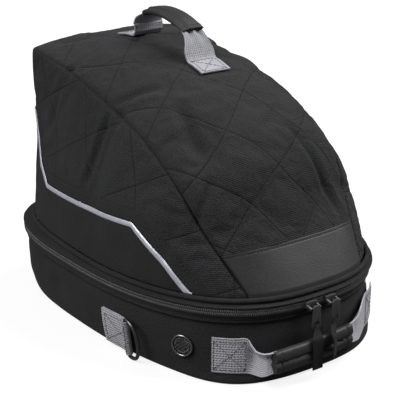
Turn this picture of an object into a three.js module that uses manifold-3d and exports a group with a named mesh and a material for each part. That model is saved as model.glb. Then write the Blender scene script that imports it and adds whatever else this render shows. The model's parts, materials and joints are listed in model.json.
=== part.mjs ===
// Helmet cooling bag: a quilted dome lid zipped round its foot to a low egg-shaped base, with a handle
// on the crown, a handle on the front of the base, two strap rings and two air vents.
// Millimetres, +Z up, front towards -Y, origin on the underside at the middle of the plan.

import * as THREE from 'three';
import { mergeVertices } from 'three/addons/utils/BufferGeometryUtils.js';
import Module from 'manifold-3d';

const wasm = await Module();
wasm.setup();

// Driving dimensions

const GAP = 0.3;
const BAG = { length: 424, width: 308, widestY: 18, frontPower: 2.56, backPower: 2.97 };
const CLOTH = { padded: 4, plain: 2.5, coated: 2.2, base: 2.6, floor: 3 };
const WEBBING = { width: 38, thick: 1.6 };

// Zip line and the bands stacked on it, from the lid's foot down to the base wall's rim.
const ZIP = { z: 75, toothHigh: 6.9, toothDeep: 2.6 };
const ZIP_FLAP = { out: 1.5, thick: 1.8, lowThick: 2.5, tuck: 1 };
const ZIP_TAPE = { lowIn: 3.6, highIn: 1, thick: 1.4 };
const LID_FOOT = { z: 89, frontIn: 6, backIn: 12, turnFromY: -60, turnToY: 140 };
const LID_ROLL = { radius: 2.8, out: 0.8 };
const BASE_RIM = { z: 62.6, rollRadius: 1.55, rollIn: 4.6 };
const HINGE = { halfWidth: 70, thick: 1.6 };

// Seam between top panel and wall, from the back corner (u 0) to the front foot (u 1).
// crown: rise of the middle line over the seam; lean: its direction, degrees from up towards the front.
const PATCH = { halfWidth: 75, topU: 0.885, footZ: 90, clearU: 4e-4 };
const SEAM = [
  { u: 0 / 6, halfWidth: 108, y: 163, z: 279, crown: 10, lean: 0 },
  { u: 1 / 6, halfWidth: 106.5, y: 84, z: 265, crown: 27, lean: 4 },
  { u: 2 / 6, halfWidth: 106, y: 14, z: 246, crown: 40, lean: 14 },
  { u: 3 / 6, halfWidth: 106, y: -56, z: 222, crown: 40, lean: 28 },
  { u: 4 / 6, halfWidth: 105, y: -110, z: 188, crown: 34, lean: 45 },
  { u: 5 / 6, halfWidth: 93, y: -147, z: 141, crown: 23, lean: 66 },
];
const CROWN_POWER = 2.8;
const SEAM_SETBACK = 0.45;

// Soft dents of the top panel, in its own u and v, with their reach in each.
const TOP_DENTS = [
  { u: 0.57, v: -0.72, reachU: 0.07, reachV: 0.22, depth: 5 },
  { u: 0.76, v: 0.6, reachU: 0.1, reachV: 0.16, depth: 5 },
  { u: 0.05, v: -0.15, reachU: 0.05, reachV: 0.4, depth: 4 },
  { u: 0.25, v: 0.8, reachU: 0.07, reachV: 0.3, depth: 14 },
];

// Folds of the wall, by station round the lid (0 front foot, 1 back corner) and share of height.
const WALL_DENTS = [
  { at: 0.63, h: 0.72, reachAt: 0.035, reachH: 0.3, depth: 6 },
  { at: 0.3, h: 0.55, reachAt: 0.04, reachH: 0.3, depth: 4 },
  { at: 0.86, h: 0.62, reachAt: 0.05, reachH: 0.2, depth: 4 },
];
const WALL_BULGE = { left: 6, right: 12, corner: -2.5, back: 5, cornerFrom: 0.55, fullHeight: 120 };

// Reflective line round the lid: height by station (past 1 is the back, 1.3 its middle).
const LINE = [
  { at: 0.165, z: 89 },
  { at: 0.456, z: 142 },
  { at: 0.87, z: 134 },
  { at: 0.93, z: 152 },
  { at: 1, z: 208 },
  { at: 1.3, z: 216 },
];
const LINE_HALF = 2.5;
const BORDER_WIDE = 12;
const BACK_SPAN = 0.3;
const LINE_PROUD = 0.8;
const STEEPEST_LINE = 2.5;
const THINNEST_BAND = 0.9;
const BAND_TRIM = 0.6;

// Base wall: how far it stands out from the zip line, by height, at the sides, ends and front corners.
const BASE_PROFILE = [
  { z: 0, side: -13, front: -3, back: -7, corner: 4 },
  { z: 6, side: -10.5, front: -0.5, back: -4, corner: 5 },
  { z: 25, side: -6, front: 0.5, back: -2, corner: 3 },
  { z: 45, side: -4, front: -0.5, back: -2, corner: 1 },
  { z: BASE_RIM.z, side: -6, front: -5.5, back: -6, corner: 0 },
];
const BASE_DENTS = [
  { angle: 152, z: 48, reachAngle: 7, reachZ: 12, depth: 4 },
  { angle: 166, z: 34, reachAngle: 6, reachZ: 14, depth: 3 },
  { angle: 244, z: 0, reachAngle: 12, reachZ: 6.5, depth: -6 },
];

// Strap ring and its tab, and the vent, on the left wall; the right ones are mirrored.
const RING = {
  angle: -145.6, z: 25.1, wire: 2, high: 49, deep: 24, standOff: 6, splay: 12, corner: 0.35, bowPower: 0.7,
};
const TAB = {
  lowZ: 5.8, highZ: 44.8, long: 43.5, thick: 1.5, layerGap: 0.35, underGap: 0.6, neck: 3.5, taper: 12,
};
const VENT = {
  angle: -127.2, z: 34.2, radius: 12, bore: 9, depth: 4, lift: 0.1, discThick: 1.4, discIn: 0.4,
};
const VENT_RIM = { wallShare: 0.4, topIn: 1.2, boreOut: 0.9, boreShare: 0.75 };

// Front handle: sewn patches by plan angle, grip by its two ends.
const FRONT_HANDLE = { patchFrom: -119.3, patchTo: -110.9, z: 30.4, lift: 2.2, patchSteps: 3 };
const FRONT_GRIP = {
  left: -71, right: 29.5, y: -225, z: 31.5, climb: 2.5, high: 24, thick: 11,
  endGap: 0.8, endSize: 0.9, shoulder: 0.06,
};
const FRONT_NECK = 20;
const LEFT_LOOSE = [
  { x: -73.5, y: -201, z: 30.4, wide: 36 },
  { x: -76, y: -213, z: 30.6, wide: 31 },
  { x: -77.5, y: -221, z: 31, wide: 25 },
];
const RIGHT_LOOSE = [
  { x: 45, y: -220.5, z: 33, wide: 28 },
  { x: 59, y: -212, z: 31.4, wide: 35 },
];

// Top handle: places along the middle line where it is sewn down, and its rise.
const TOP_HANDLE = { backEndY: 122, backSewnY: 91, frontSewnY: -12, frontEndY: -38, lift: 1.6 };
const TOP_GRIP = {
  backY: 80, frontY: 4, wide: 27, thick: 8, backZ: 318, peakZ: 323.5, frontZ: 312,
  peakBack: 8, roundness: 0.7,
};
const TOP_NECK = { wide: 24, gap: 0.6, drop: 0.5 };
const BACK_LOOSE = [
  { y: 87, z: 297, wide: WEBBING.width },
  { y: 88, z: 306, wide: WEBBING.width },
];
const FRONT_LOOSE = [
  { y: -2.5, z: 302, wide: 32 },
  { y: -7, z: 292.5, wide: WEBBING.width },
];

// Zip sliders by plan angle, with their pull tabs and ribbons.
const SLIDERS = [
  { side: 'left', angle: -93.75, eyeAt: 0, ribbonTurn: 0, ribbonEndZ: 12 },
  { side: 'right', angle: -87.33, eyeAt: 0, ribbonTurn: -68, ribbonEndZ: 24 },
];
const SLIDER = { long: 13, high: 5.8, deep: 3.4, noseLong: 7.8, noseHigh: 6.7 };
const BAR = { radius: 0.9, out: 5, drop: 2, span: 12, armWide: 1.8, armHigh: 2.2 };
const PULL = {
  rise: 3.2, long: 24.8, topWide: 9.2, lowWide: 11.4, thick: 1.8, topCorner: 2.6, lowCorner: 3.4,
};
const PULL_EYE = { outer: 2.6, bore: 1.35, wide: 3.6, clearOfBar: 0.35 };
const PULL_HOLE = { radius: 3.4, above: 1.9 };
const RIBBON = { wide: 13, neck: 5, thick: 1.3, clearOfGrip: 1.2 };
const RIBBON_LOOP = { tail: 0.5, tailDrop: 3.8, out: 1.6, rise: 3.5, crown: 0.5, leave: 0.6, leaveWide: 2 };
const RIBBON_WAY = [
  { toFront: 0.6, drop: 5, wideShare: 0.85, turnShare: 0.3 },
  { toFront: 1, drop: 9.5, wideShare: 1, turnShare: 0.6 },
];
const RIBBON_HANG = { middleLow: 6, middleOut: 0.6, endOut: 0.4 };

// Counts of facets
const FACETS = { round: 60, acrossTop: 12, alongTop: 17, alongPatch: 3, wallRows: 5, skirtRows: 3 };
const WIRE_FACETS = 6;
const DISC_FACETS = 20;

// Finishes
function finish(color, roughness, metalness = 0) {
  return new THREE.MeshStandardMaterial({ color, roughness, metalness });
}
const BLACK_CLOTH = finish(0x2a2a2c, 0.85);
const QUILTED = finish(0x303032, 0.88);
const COATED = finish(0x37373a, 0.5);
const GREY_WEBBING = finish(0x8d8d94, 0.8);
const SILVER_LINE = finish(0xb4b6be, 0.35);
const NYLON = finish(0x1c1c1e, 0.55);
const DARK_NICKEL = finish(0x6d6d70, 0.3, 1);
const BLACK_METAL = finish(0x333335, 0.45, 0.6);
const MESH_DISC = finish(0x121214, 0.7);

// Small helpers

const radians = THREE.MathUtils.degToRad;
const vec = (x, y, z) => new THREE.Vector3(x, y, z);
const range = (count) => Array.from({ length: count }, (_, i) => i);
const steps = (from, to, count) => range(count + 1).map((i) => from + ((to - from) * i) / count);
const bump = (d, reach) => Math.exp(-((d / reach) ** 2));

// Smooth reading of a table's column at a value of its key column.
function read(table, key, at, column) {
  const last = table.length - 1;
  let i = 0;
  while (i < last - 1 && at > table[i + 1][key]) i += 1;
  const slope = (k) => {
    const a = table[Math.max(k - 1, 0)];
    const b = table[Math.min(k + 1, last)];
    return (b[column] - a[column]) / (b[key] - a[key]);
  };
  const span = table[i + 1][key] - table[i][key];
  const w = (at - table[i][key]) / span;
  const rise = table[i + 1][column] - table[i][column];
  const start = slope(i) * span;
  const end = slope(i + 1) * span;
  return table[i][column] + w * (start + w * (3 * rise - 2 * start - end + w * (start + end - 2 * rise)));
}

// Straight reading, for lines with real kinks.
function readStraight(table, key, at, column) {
  const last = table.length - 1;
  let i = 0;
  while (i < last - 1 && at > table[i + 1][key]) i += 1;
  const w = (at - table[i][key]) / (table[i + 1][key] - table[i][key]);
  return THREE.MathUtils.lerp(table[i][column], table[i + 1][column], w);
}

// Value of a rising function's argument where it reaches the target.
function solve(rising, target, low, high) {
  for (let i = 0; i < 50; i += 1) {
    const middle = (low + high) / 2;
    if (rising(middle) < target) low = middle;
    else high = middle;
  }
  return (low + high) / 2;
}

// Closed solid skinned over rings of points, each quad split along its shorter diagonal.
// Open ends are capped by pairing each ring's two halves.
function skin(rings, closed = false) {
  const count = rings[0].length;
  const points = rings.flat();
  const index = [];
  const quad = (a, b, c, d) => {
    const straight = points[a].distanceTo(points[c]) < points[b].distanceTo(points[d]);
    index.push(...(straight ? [a, b, c, a, c, d] : [a, b, d, b, c, d]));
  };
  const at = (i, j) => (i % rings.length) * count + (j % count);
  for (let i = 0; i < rings.length - (closed ? 0 : 1); i += 1) {
    for (let j = 0; j < count; j += 1) quad(at(i, j), at(i + 1, j), at(i + 1, j + 1), at(i, j + 1));
  }
  const end = rings.length - 1;
  for (let j = 0; !closed && j < count / 2 - 1; j += 1) {
    quad(at(0, j), at(0, j + 1), at(0, count - 2 - j), at(0, count - 1 - j));
    quad(at(end, count - 1 - j), at(end, count - 2 - j), at(end, j + 1), at(end, j));
  }
  const volume = range(index.length / 3).reduce((sum, k) => {
    const [a, b, c] = [0, 1, 2].map((n) => points[index[3 * k + n]]);
    return sum + a.dot(b.clone().cross(c));
  }, 0);
  if (volume < 0) index.reverse();
  const geometry = new THREE.BufferGeometry().setFromPoints(points);
  geometry.setIndex(index);
  geometry.computeVertexNormals();
  return geometry;
}

// Solid of a sheet given by its outer and inner columns of points.
const sheet = (outer, inner) => skin(outer.map((column, i) => [...column, ...[...inner[i]].reverse()]));

// Flat strap: each station has its middle, width direction, face direction, width and thickness.
function strap(stations) {
  const rings = stations.map(({ middle, across, face, wide, thick }) => {
    const edge = (w) => middle.clone().addScaledVector(across, (w * wide) / 2);
    const corner = (w, t) => edge(w).addScaledVector(face, (t * thick) / 2);
    return [corner(-1, 1), corner(1, 1), corner(1, -1), corner(-1, -1)];
  });
  return skin(rings);
}

// Union and difference of closed geometries.
function toManifold(geometry) {
  const bare = geometry.clone();
  bare.deleteAttribute('normal');
  bare.deleteAttribute('uv');
  const merged = mergeVertices(bare, 1e-4);
  return new wasm.Manifold(new wasm.Mesh({
    numProp: 3,
    vertProperties: merged.attributes.position.array,
    triVerts: Uint32Array.from(merged.index.array),
  }));
}
function fromManifold(solid) {
  const { vertProperties, triVerts } = solid.getMesh();
  const geometry = new THREE.BufferGeometry();
  geometry.setAttribute('position', new THREE.BufferAttribute(vertProperties, 3));
  geometry.setIndex(new THREE.BufferAttribute(triVerts, 1));
  return geometry;
}
function join(...geometries) {
  return fromManifold(geometries.map(toManifold).reduce((sum, solid) => sum.add(solid)));
}
function cut(...geometries) {
  return fromManifold(geometries.map(toManifold).reduce((sum, solid) => sum.subtract(solid)));
}

const bag = new THREE.Group();
bag.name = 'helmet_cooling_bag';
function add(name, geometry, material, parent = bag) {
  const mesh = new THREE.Mesh(geometry, material);
  mesh.name = name;
  parent.add(mesh);
  return mesh;
}
const mirrored = (geometry) => {
  const copy = geometry.clone().scale(-1, 1, 1);
  const index = Array.from(copy.index.array);
  copy.setIndex(index.reverse());
  copy.computeVertexNormals();
  return copy;
};

// Plan: an egg of two half superellipses that share their widest line

const reachOf = (s) => (s < 0 ? BAG.length / 2 + BAG.widestY : BAG.length / 2 - BAG.widestY);
function planNormal(angle) {
  const [c, s] = [Math.cos(angle), Math.sin(angle)];
  const [across, along] = [BAG.width / 2, reachOf(s)];
  const power = s < 0 ? BAG.frontPower : BAG.backPower;
  const x = Math.sign(c) * Math.abs(c / across) ** (power - 1) / across;
  const y = Math.sign(s) * Math.abs(s / along) ** (power - 1) / along;
  return new THREE.Vector2(x, y).normalize();
}
function planPoint(angle, out = 0) {
  const [c, s] = [Math.cos(angle), Math.sin(angle)];
  const power = s < 0 ? BAG.frontPower : BAG.backPower;
  const r = (Math.abs((2 * c) / BAG.width) ** power + Math.abs(s / reachOf(s)) ** power) ** (-1 / power);
  return new THREE.Vector2(r * c, r * s + BAG.widestY).addScaledVector(planNormal(angle), out);
}

// Plan angles at even distances along the zip line.
function evenAngles(from, to, count) {
  const fine = steps(from, to, 600);
  const length = [0];
  for (let i = 1; i < fine.length; i += 1) {
    length.push(length[i - 1] + planPoint(fine[i]).distanceTo(planPoint(fine[i - 1])));
  }
  return steps(0, length.at(-1), count).map((d) => {
    const i = Math.max(1, length.findIndex((l) => l >= d - 1e-9));
    const w = (d - length[i - 1]) / (length[i] - length[i - 1]);
    return THREE.MathUtils.lerp(fine[i - 1], fine[i], w);
  });
}
const ROUND = evenAngles(-Math.PI, Math.PI, FACETS.round).slice(0, -1);

// Solid swept round the plan from a section of [out, z] pairs that may change with the angle.
function roundSolid(section, angles = ROUND, closed = true) {
  return skin(angles.map((angle) => section(angle).map(([out, z]) => {
    const p = planPoint(angle, out);
    return vec(p.x, p.y, z);
  })), closed);
}

// Base: soft wall, flat floor and thin roll on the rim

function baseOut(angle, z) {
  const n = planNormal(angle);
  const at = (column) => read(BASE_PROFILE, 'z', z, column);
  const end = n.y < 0 ? at('front') : at('back');
  const corner = n.y < 0 ? at('corner') * 4 * (n.x * n.y) ** 2 : 0;
  const dents = BASE_DENTS.reduce((sum, d) => {
    const turn = THREE.MathUtils.euclideanModulo(angle - radians(d.angle) + Math.PI, 2 * Math.PI) - Math.PI;
    return sum + d.depth * bump(turn, radians(d.reachAngle)) * bump(z - d.z, d.reachZ);
  }, 0);
  return at('side') * n.x ** 2 + end * n.y ** 2 + corner - dents;
}
function basePoint(angle, z, lift = 0) {
  const p = planPoint(angle, baseOut(angle, z) + lift);
  return vec(p.x, p.y, z);
}

const BASE_LEVELS = [0, 6, 15, 27, 39, 51, BASE_RIM.z];
add('base_wall', roundSolid((angle) => {
  const outer = BASE_LEVELS.map((z) => [baseOut(angle, z), z]);
  const inner = BASE_LEVELS.map((z) => [baseOut(angle, z) - CLOTH.base, z]).reverse();
  return [...outer, ...inner];
}), BLACK_CLOTH);

function floorGeometry() {
  const inside = CLOTH.base + GAP;
  const outline = ROUND.map((angle) => basePoint(angle, 0, -inside));
  const shape = new THREE.Shape(outline.map((p) => new THREE.Vector2(p.x, p.y)));
  return new THREE.ExtrudeGeometry(shape, { depth: CLOTH.floor, bevelEnabled: false });
}
add('base_floor', floorGeometry(), BLACK_CLOTH);

const BASE_ROLL_Z = BASE_RIM.z + GAP + BASE_RIM.rollRadius;
const circleSection = (out, z, radius, sides) => range(sides).map((i) => {
  const a = ((i + 0.5) / sides) * 2 * Math.PI;
  return [out + radius * Math.cos(a), z + radius * Math.sin(a)];
});
const baseRollSection = circleSection(-BASE_RIM.rollIn, BASE_ROLL_Z, BASE_RIM.rollRadius, 4);
add('base_roll', roundSolid(() => baseRollSection), BLACK_CLOTH);

// Zip: tape below, coil, and flap above, open at the back where a cloth hinge joins lid and base

const hingeTurn = solve((a) => -planPoint(a).x, -HINGE.halfWidth, 0, Math.PI / 2);
const ZIP_ROUND = evenAngles(Math.PI - hingeTurn, 2 * Math.PI + hingeTurn, FACETS.round);
const toothTop = ZIP.z + ZIP.toothHigh / 2;
const toothLow = ZIP.z - ZIP.toothHigh / 2;
const tapeLow = BASE_ROLL_Z + BASE_RIM.rollRadius + GAP;

function lidIn(angle) {
  const w = THREE.MathUtils.smoothstep(planPoint(angle).y, LID_FOOT.turnFromY, LID_FOOT.turnToY);
  return THREE.MathUtils.lerp(LID_FOOT.frontIn, LID_FOOT.backIn, w);
}
const rollZ = LID_FOOT.z - GAP - LID_ROLL.radius;
const flapTop = rollZ - LID_ROLL.radius - GAP;

// Section of a band from a low edge to a high edge, each as [out, z], with a thickness at each.
const band = ([lowOut, low], [highOut, high], lowThick, highThick = lowThick) => [
  [lowOut, low], [highOut, high], [highOut - highThick, high], [lowOut - lowThick, low],
];
const tapeFoot = [-ZIP_TAPE.lowIn, tapeLow];
const tapeSection = band(tapeFoot, [-ZIP_TAPE.highIn, toothLow - GAP], ZIP_TAPE.thick);
add('zip_tape', roundSolid(() => tapeSection, ZIP_ROUND, false), NYLON);
const coilSection = band([0, toothLow], [0, toothTop], ZIP.toothDeep);
add('zip_coil', roundSolid(() => coilSection, ZIP_ROUND, false), NYLON);
const flapSection = (angle) => {
  const out = ZIP_FLAP.thick - lidIn(angle) + LID_ROLL.out - ZIP_FLAP.tuck;
  return band([ZIP_FLAP.out, toothTop + GAP], [out, flapTop], ZIP_FLAP.lowThick, ZIP_FLAP.thick);
};
add('zip_flap', roundSolid(flapSection, ZIP_ROUND, false), BLACK_CLOTH);
const hingeEdge = GAP / HINGE.halfWidth;
const HINGE_ROUND = steps(hingeTurn + hingeEdge, Math.PI - hingeTurn - hingeEdge, 8);
const hingeSection = (angle) => band(tapeFoot, [-lidIn(angle) + LID_ROLL.out, flapTop], HINGE.thick);
add('hinge_strip', roundSolid(hingeSection, HINGE_ROUND, false), BLACK_CLOTH);
const rollSection = (angle) => circleSection(-lidIn(angle) + LID_ROLL.out, rollZ, LID_ROLL.radius, 6);
add('lid_roll', roundSolid(rollSection), BLACK_CLOTH);

// Lid: top panel between the two seams, coated patch at its front end, wall round sides and back

const FOOT_FRONT = solve((a) => planPoint(a, -LID_FOOT.frontIn).x, PATCH.halfWidth, -Math.PI / 2, 0);
const frontFoot = planPoint(FOOT_FRONT, -LID_FOOT.frontIn);
const noseY = planPoint(-Math.PI / 2, -LID_FOOT.frontIn).y;
const frontCrown = frontFoot.y - noseY;
SEAM.push({ u: 1, halfWidth: PATCH.halfWidth, y: frontFoot.y, z: PATCH.footZ, crown: frontCrown, lean: 90 });
const besideBack = (turn) => planPoint(Math.PI / 2 - turn, -LID_FOOT.backIn).x;
const FOOT_BACK = Math.PI / 2 - solve(besideBack, SEAM[0].halfWidth, 0, Math.PI / 2);

const dentDepth = (dents, [keyA, reachA], [keyB, reachB], a, b) => dents.reduce(
  (sum, d) => sum + d.depth * bump(a - d[keyA], d[reachA]) * bump(b - d[keyB], d[reachB]), 0);

function topPoint(u, v) {
  const at = (column) => read(SEAM, 'u', u, column);
  const dent = dentDepth(TOP_DENTS, ['u', 'reachU'], ['v', 'reachV'], u, v) * (1 - v ** 8);
  const rise = at('crown') * (1 - Math.abs(v) ** CROWN_POWER) - dent;
  const lean = radians(at('lean'));
  return vec(v * at('halfWidth'), at('y') - rise * Math.sin(lean), at('z') + rise * Math.cos(lean));
}
function topNormal(u, v) {
  const d = 1e-3;
  const alongU = topPoint(Math.min(u + d, 1), v).sub(topPoint(Math.max(u - d, 0), v));
  const alongV = topPoint(u, Math.min(v + d, 1)).sub(topPoint(u, Math.max(v - d, -1)));
  return alongU.cross(alongV).normalize();
}

// Stations of the lid's outline, from the left front foot over the back to the right front foot.
const PANEL_U = steps(0, PATCH.topU, FACETS.alongTop);
const PATCH_U = steps(PATCH.topU, 1, FACETS.alongPatch);
const ACROSS = steps(-1, 1, FACETS.acrossTop);
const SEAM_U = [...PANEL_U, ...PATCH_U.slice(1)];
const OUTLINE = [
  ...[...SEAM_U].reverse().map((u) => ({ u, v: -1, at: 1 - u })),
  ...ACROSS.slice(1, -1).map((v) => ({ u: 0, v, at: 1 + BACK_SPAN * (1 - Math.abs(v)) })),
  ...SEAM_U.map((u) => ({ u, v: 1, at: 1 - u })),
];

// Foot of the wall under a station: beside the seam it runs level with it, behind it spans the back.
function footAngle({ u, v }) {
  if (u === 0 && Math.abs(v) < 1) return Math.PI / 2 - v * (Math.PI / 2 - FOOT_BACK);
  const share = (read(SEAM, 'u', u, 'y') - frontFoot.y) / (SEAM[0].y - frontFoot.y);
  const y = THREE.MathUtils.lerp(frontFoot.y, planPoint(FOOT_BACK, -LID_FOOT.backIn).y, share);
  const right = solve((a) => planPoint(a, -LID_FOOT.frontIn).y, y, FOOT_FRONT, FOOT_BACK);
  return v > 0 ? right : Math.PI - right;
}
for (const station of OUTLINE) {
  const angle = footAngle(station);
  const foot = planPoint(angle, -lidIn(angle));
  station.top = topPoint(station.u, station.v);
  station.foot = vec(foot.x, foot.y, LID_FOOT.z);
  station.out = planNormal(angle);
  const { left, right, corner, back, cornerFrom } = WALL_BULGE;
  const turn = THREE.MathUtils.smoothstep(station.at, cornerFrom, 1);
  const behind = Math.max(station.at - 1, 0) / BACK_SPAN;
  const side = station.top.x > 0 ? right : left;
  station.bulge = THREE.MathUtils.lerp(side, corner, turn) + (back - corner) * (1 - (1 - behind) ** 2);
}
const wallHeight = (k) => OUTLINE[k].top.z - LID_FOOT.z;
function wallPoint(k, h) {
  const { top, foot, out, bulge, at } = OUTLINE[k];
  const share = Math.min(wallHeight(k) / WALL_BULGE.fullHeight, 1);
  const dent = dentDepth(WALL_DENTS, ['at', 'reachAt'], ['h', 'reachH'], at, h);
  const swell = share * 4 * h * (1 - h) * (bulge - dent);
  return vec(out.x * swell, out.y * swell, 0).add(foot.clone().lerp(top, h));
}
function wallNormal(k, h) {
  const d = 1e-3;
  const up = wallPoint(k, Math.min(h + d, 1)).sub(wallPoint(k, Math.max(h - d, 0)));
  const before = wallPoint(Math.max(k - 1, 0), h);
  const after = wallPoint(Math.min(k + 1, OUTLINE.length - 1), h);
  return up.cross(after.sub(before)).normalize();
}

// Mitre of top panel and wall: both sheets end on the plane that halves the corner between them.
OUTLINE.forEach((station, k) => {
  const [n, m] = [topNormal(station.u, station.v), wallNormal(k, 1)];
  station.mitre = n.clone().add(m).divideScalar(-(1 + n.dot(m)));
});
const stationOf = (u, v) => OUTLINE.find((s) => Math.abs(s.u - u) < 1e-9 && Math.abs(s.v - v) < 1e-9);

// Sheet over part of the top panel's surface, u by v, set back a little from each seam.
function topSheet(us, thick) {
  const low = us[0];
  const high = us.at(-1);
  const outer = [];
  const inner = [];
  for (const u of us) {
    const clear = PATCH.clearU;
    const drawn = THREE.MathUtils.clamp(u, low === 0 ? 0 : low + clear, high === 1 ? 1 : high - clear);
    outer.push([]);
    inner.push([]);
    for (const v of ACROSS) {
      const point = topPoint(drawn, v);
      const station = stationOf(u, v);
      const depth = station ? station.mitre.clone() : topNormal(drawn, v).negate();
      const back = depth.multiplyScalar(thick);
      if (u === 1) back.z = 0;
      const inward = vec(0, u === 0 ? -SEAM_SETBACK : 0, 0);
      if (Math.abs(v) === 1) inward.add(topPoint(drawn, v * 0.98).sub(point).setLength(SEAM_SETBACK));
      outer.at(-1).push(point.clone().add(inward));
      inner.at(-1).push(point.clone().add(inward).add(back));
    }
  }
  return sheet(outer, inner);
}
add('top_panel', topSheet(PANEL_U, CLOTH.padded), QUILTED);
add('front_patch', topSheet(PATCH_U, CLOTH.coated), COATED);

// Bands of the wall, from the foot up. Each starts one station before its upper edge clears the foot.
const lineZ = (k) => readStraight(LINE, 'at', OUTLINE[k].at, 'z');
const lastStation = OUTLINE.length - 1;

// How much taller a band is cut where the line climbs, so that it keeps its width across the line.
function steepness(k) {
  const [i, j] = [Math.max(k - 1, 0), Math.min(k + 1, lastStation)];
  const climb = (lineZ(j) - lineZ(i)) / OUTLINE[i].foot.distanceTo(OUTLINE[j].foot);
  return Math.min(Math.hypot(1, climb), STEEPEST_LINE);
}
// above: height of the band's upper edge over the line, none for the last, which ends at the seam.
const { plain, padded } = CLOTH;
const { skirtRows, wallRows } = FACETS;
const borderTop = LINE_HALF + BORDER_WIDE;
const BANDS = [
  { name: 'skirt_panel', above: -LINE_HALF, rows: skirtRows, thick: plain, proud: 0, cloth: BLACK_CLOTH },
  { name: 'reflective_line', above: LINE_HALF, rows: 1, thick: plain, proud: LINE_PROUD, cloth: SILVER_LINE },
  { name: 'border_strip', above: borderTop, rows: 1, thick: plain, proud: 0, cloth: BLACK_CLOTH },
  { name: 'side_panel', above: Infinity, rows: wallRows, thick: padded, proud: 0, cloth: QUILTED },
];
const level = OUTLINE.map(() => LID_FOOT.z);
for (const { name, above, rows, thick, proud, cloth } of BANDS) {
  const top = (k) => lineZ(k) + above * steepness(k);
  const outer = [];
  const inner = [];
  for (let k = 0; k <= lastStation; k += 1) {
    const inwards = k < lastStation / 2 ? Math.min(k + 1, lastStation) : Math.max(k - 1, 0);
    if (top(inwards) <= LID_FOOT.z) continue;
    const height = wallHeight(k);
    const low = level[k];
    const high = Math.min(Math.max(top(k), low + THINNEST_BAND), OUTLINE[k].top.z);
    const trim = GAP * BAND_TRIM * steepness(k);
    const atSeam = high === OUTLINE[k].top.z;
    const lowH = (low - LID_FOOT.z + (low > LID_FOOT.z ? trim : 0)) / height;
    const highH = (high - LID_FOOT.z - (atSeam ? SEAM_SETBACK : trim)) / height;
    level[k] = high;
    outer.push([]);
    inner.push([]);
    steps(lowH, highH, rows).forEach((h, row) => {
      const n = wallNormal(k, h);
      const point = wallPoint(k, h);
      const back = row === rows && atSeam ? OUTLINE[k].mitre.clone() : n.clone().negate();
      if (h === 0) back.z = 0;
      outer.at(-1).push(point.clone().addScaledVector(n, proud));
      inner.at(-1).push(point.clone().addScaledVector(back, thick));
    });
  }
  add(name, sheet(outer, inner), cloth);
}

// Strap rings in their folded webbing tabs

// Local frame on the base wall: along it towards the front, out of it, and up.
function wallFrame(angle, z) {
  const d = 1e-3;
  const along = basePoint(angle + d, z).sub(basePoint(angle - d, z)).normalize();
  const up = basePoint(angle, z + 1).sub(basePoint(angle, z - 1)).normalize();
  return { origin: basePoint(angle, z), along, up, out: along.clone().cross(up).normalize() };
}
const angleAfter = (angle, distance, z) => {
  const speed = basePoint(angle + 1e-3, z).distanceTo(basePoint(angle - 1e-3, z)) / 2e-3;
  return angle + distance / speed;
};

// The ring: a straight bar closed by a half-oval bow, in a plane splayed a little off the wall.
const ringFrame = wallFrame(radians(RING.angle), RING.z);
const ringBar = ringFrame.origin.clone().addScaledVector(ringFrame.out, RING.standOff);
function ringGeometry() {
  const half = RING.high / 2 - RING.wire;
  const bow = RING.deep - 2 * RING.wire;
  const splay = radians(RING.splay);
  const level = ringFrame.along.clone().multiplyScalar(Math.cos(splay));
  const forward = level.addScaledVector(ringFrame.out, Math.sin(splay));
  const facing = forward.clone().cross(ringFrame.up).normalize();
  const { corner, bowPower } = RING;
  const outline = [
    ...steps(-1 + corner, 1 - corner, 3).map((t) => [0, t * half]),
    ...steps(90, -90, 12).map((a) => [bow * Math.cos(radians(a)) ** bowPower, half * Math.sin(radians(a))]),
  ];
  const rings = outline.map(([a, b], i) => {
    const [p, q] = [outline[(i + outline.length - 1) % outline.length], outline[(i + 1) % outline.length]];
    const run = new THREE.Vector2(q[0] - p[0], q[1] - p[1]).normalize();
    const middle = ringBar.clone().addScaledVector(forward, a).addScaledVector(ringFrame.up, b);
    const inPlane = forward.clone().multiplyScalar(run.y).addScaledVector(ringFrame.up, -run.x);
    return range(WIRE_FACETS).map((k) => {
      const turn = ((k + 0.5) / WIRE_FACETS) * 2 * Math.PI;
      const [a1, a2] = [RING.wire * Math.cos(turn), RING.wire * Math.sin(turn)];
      return middle.clone().addScaledVector(inPlane, a1).addScaledVector(facing, a2);
    });
  });
  return skin(rings, true);
}

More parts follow.
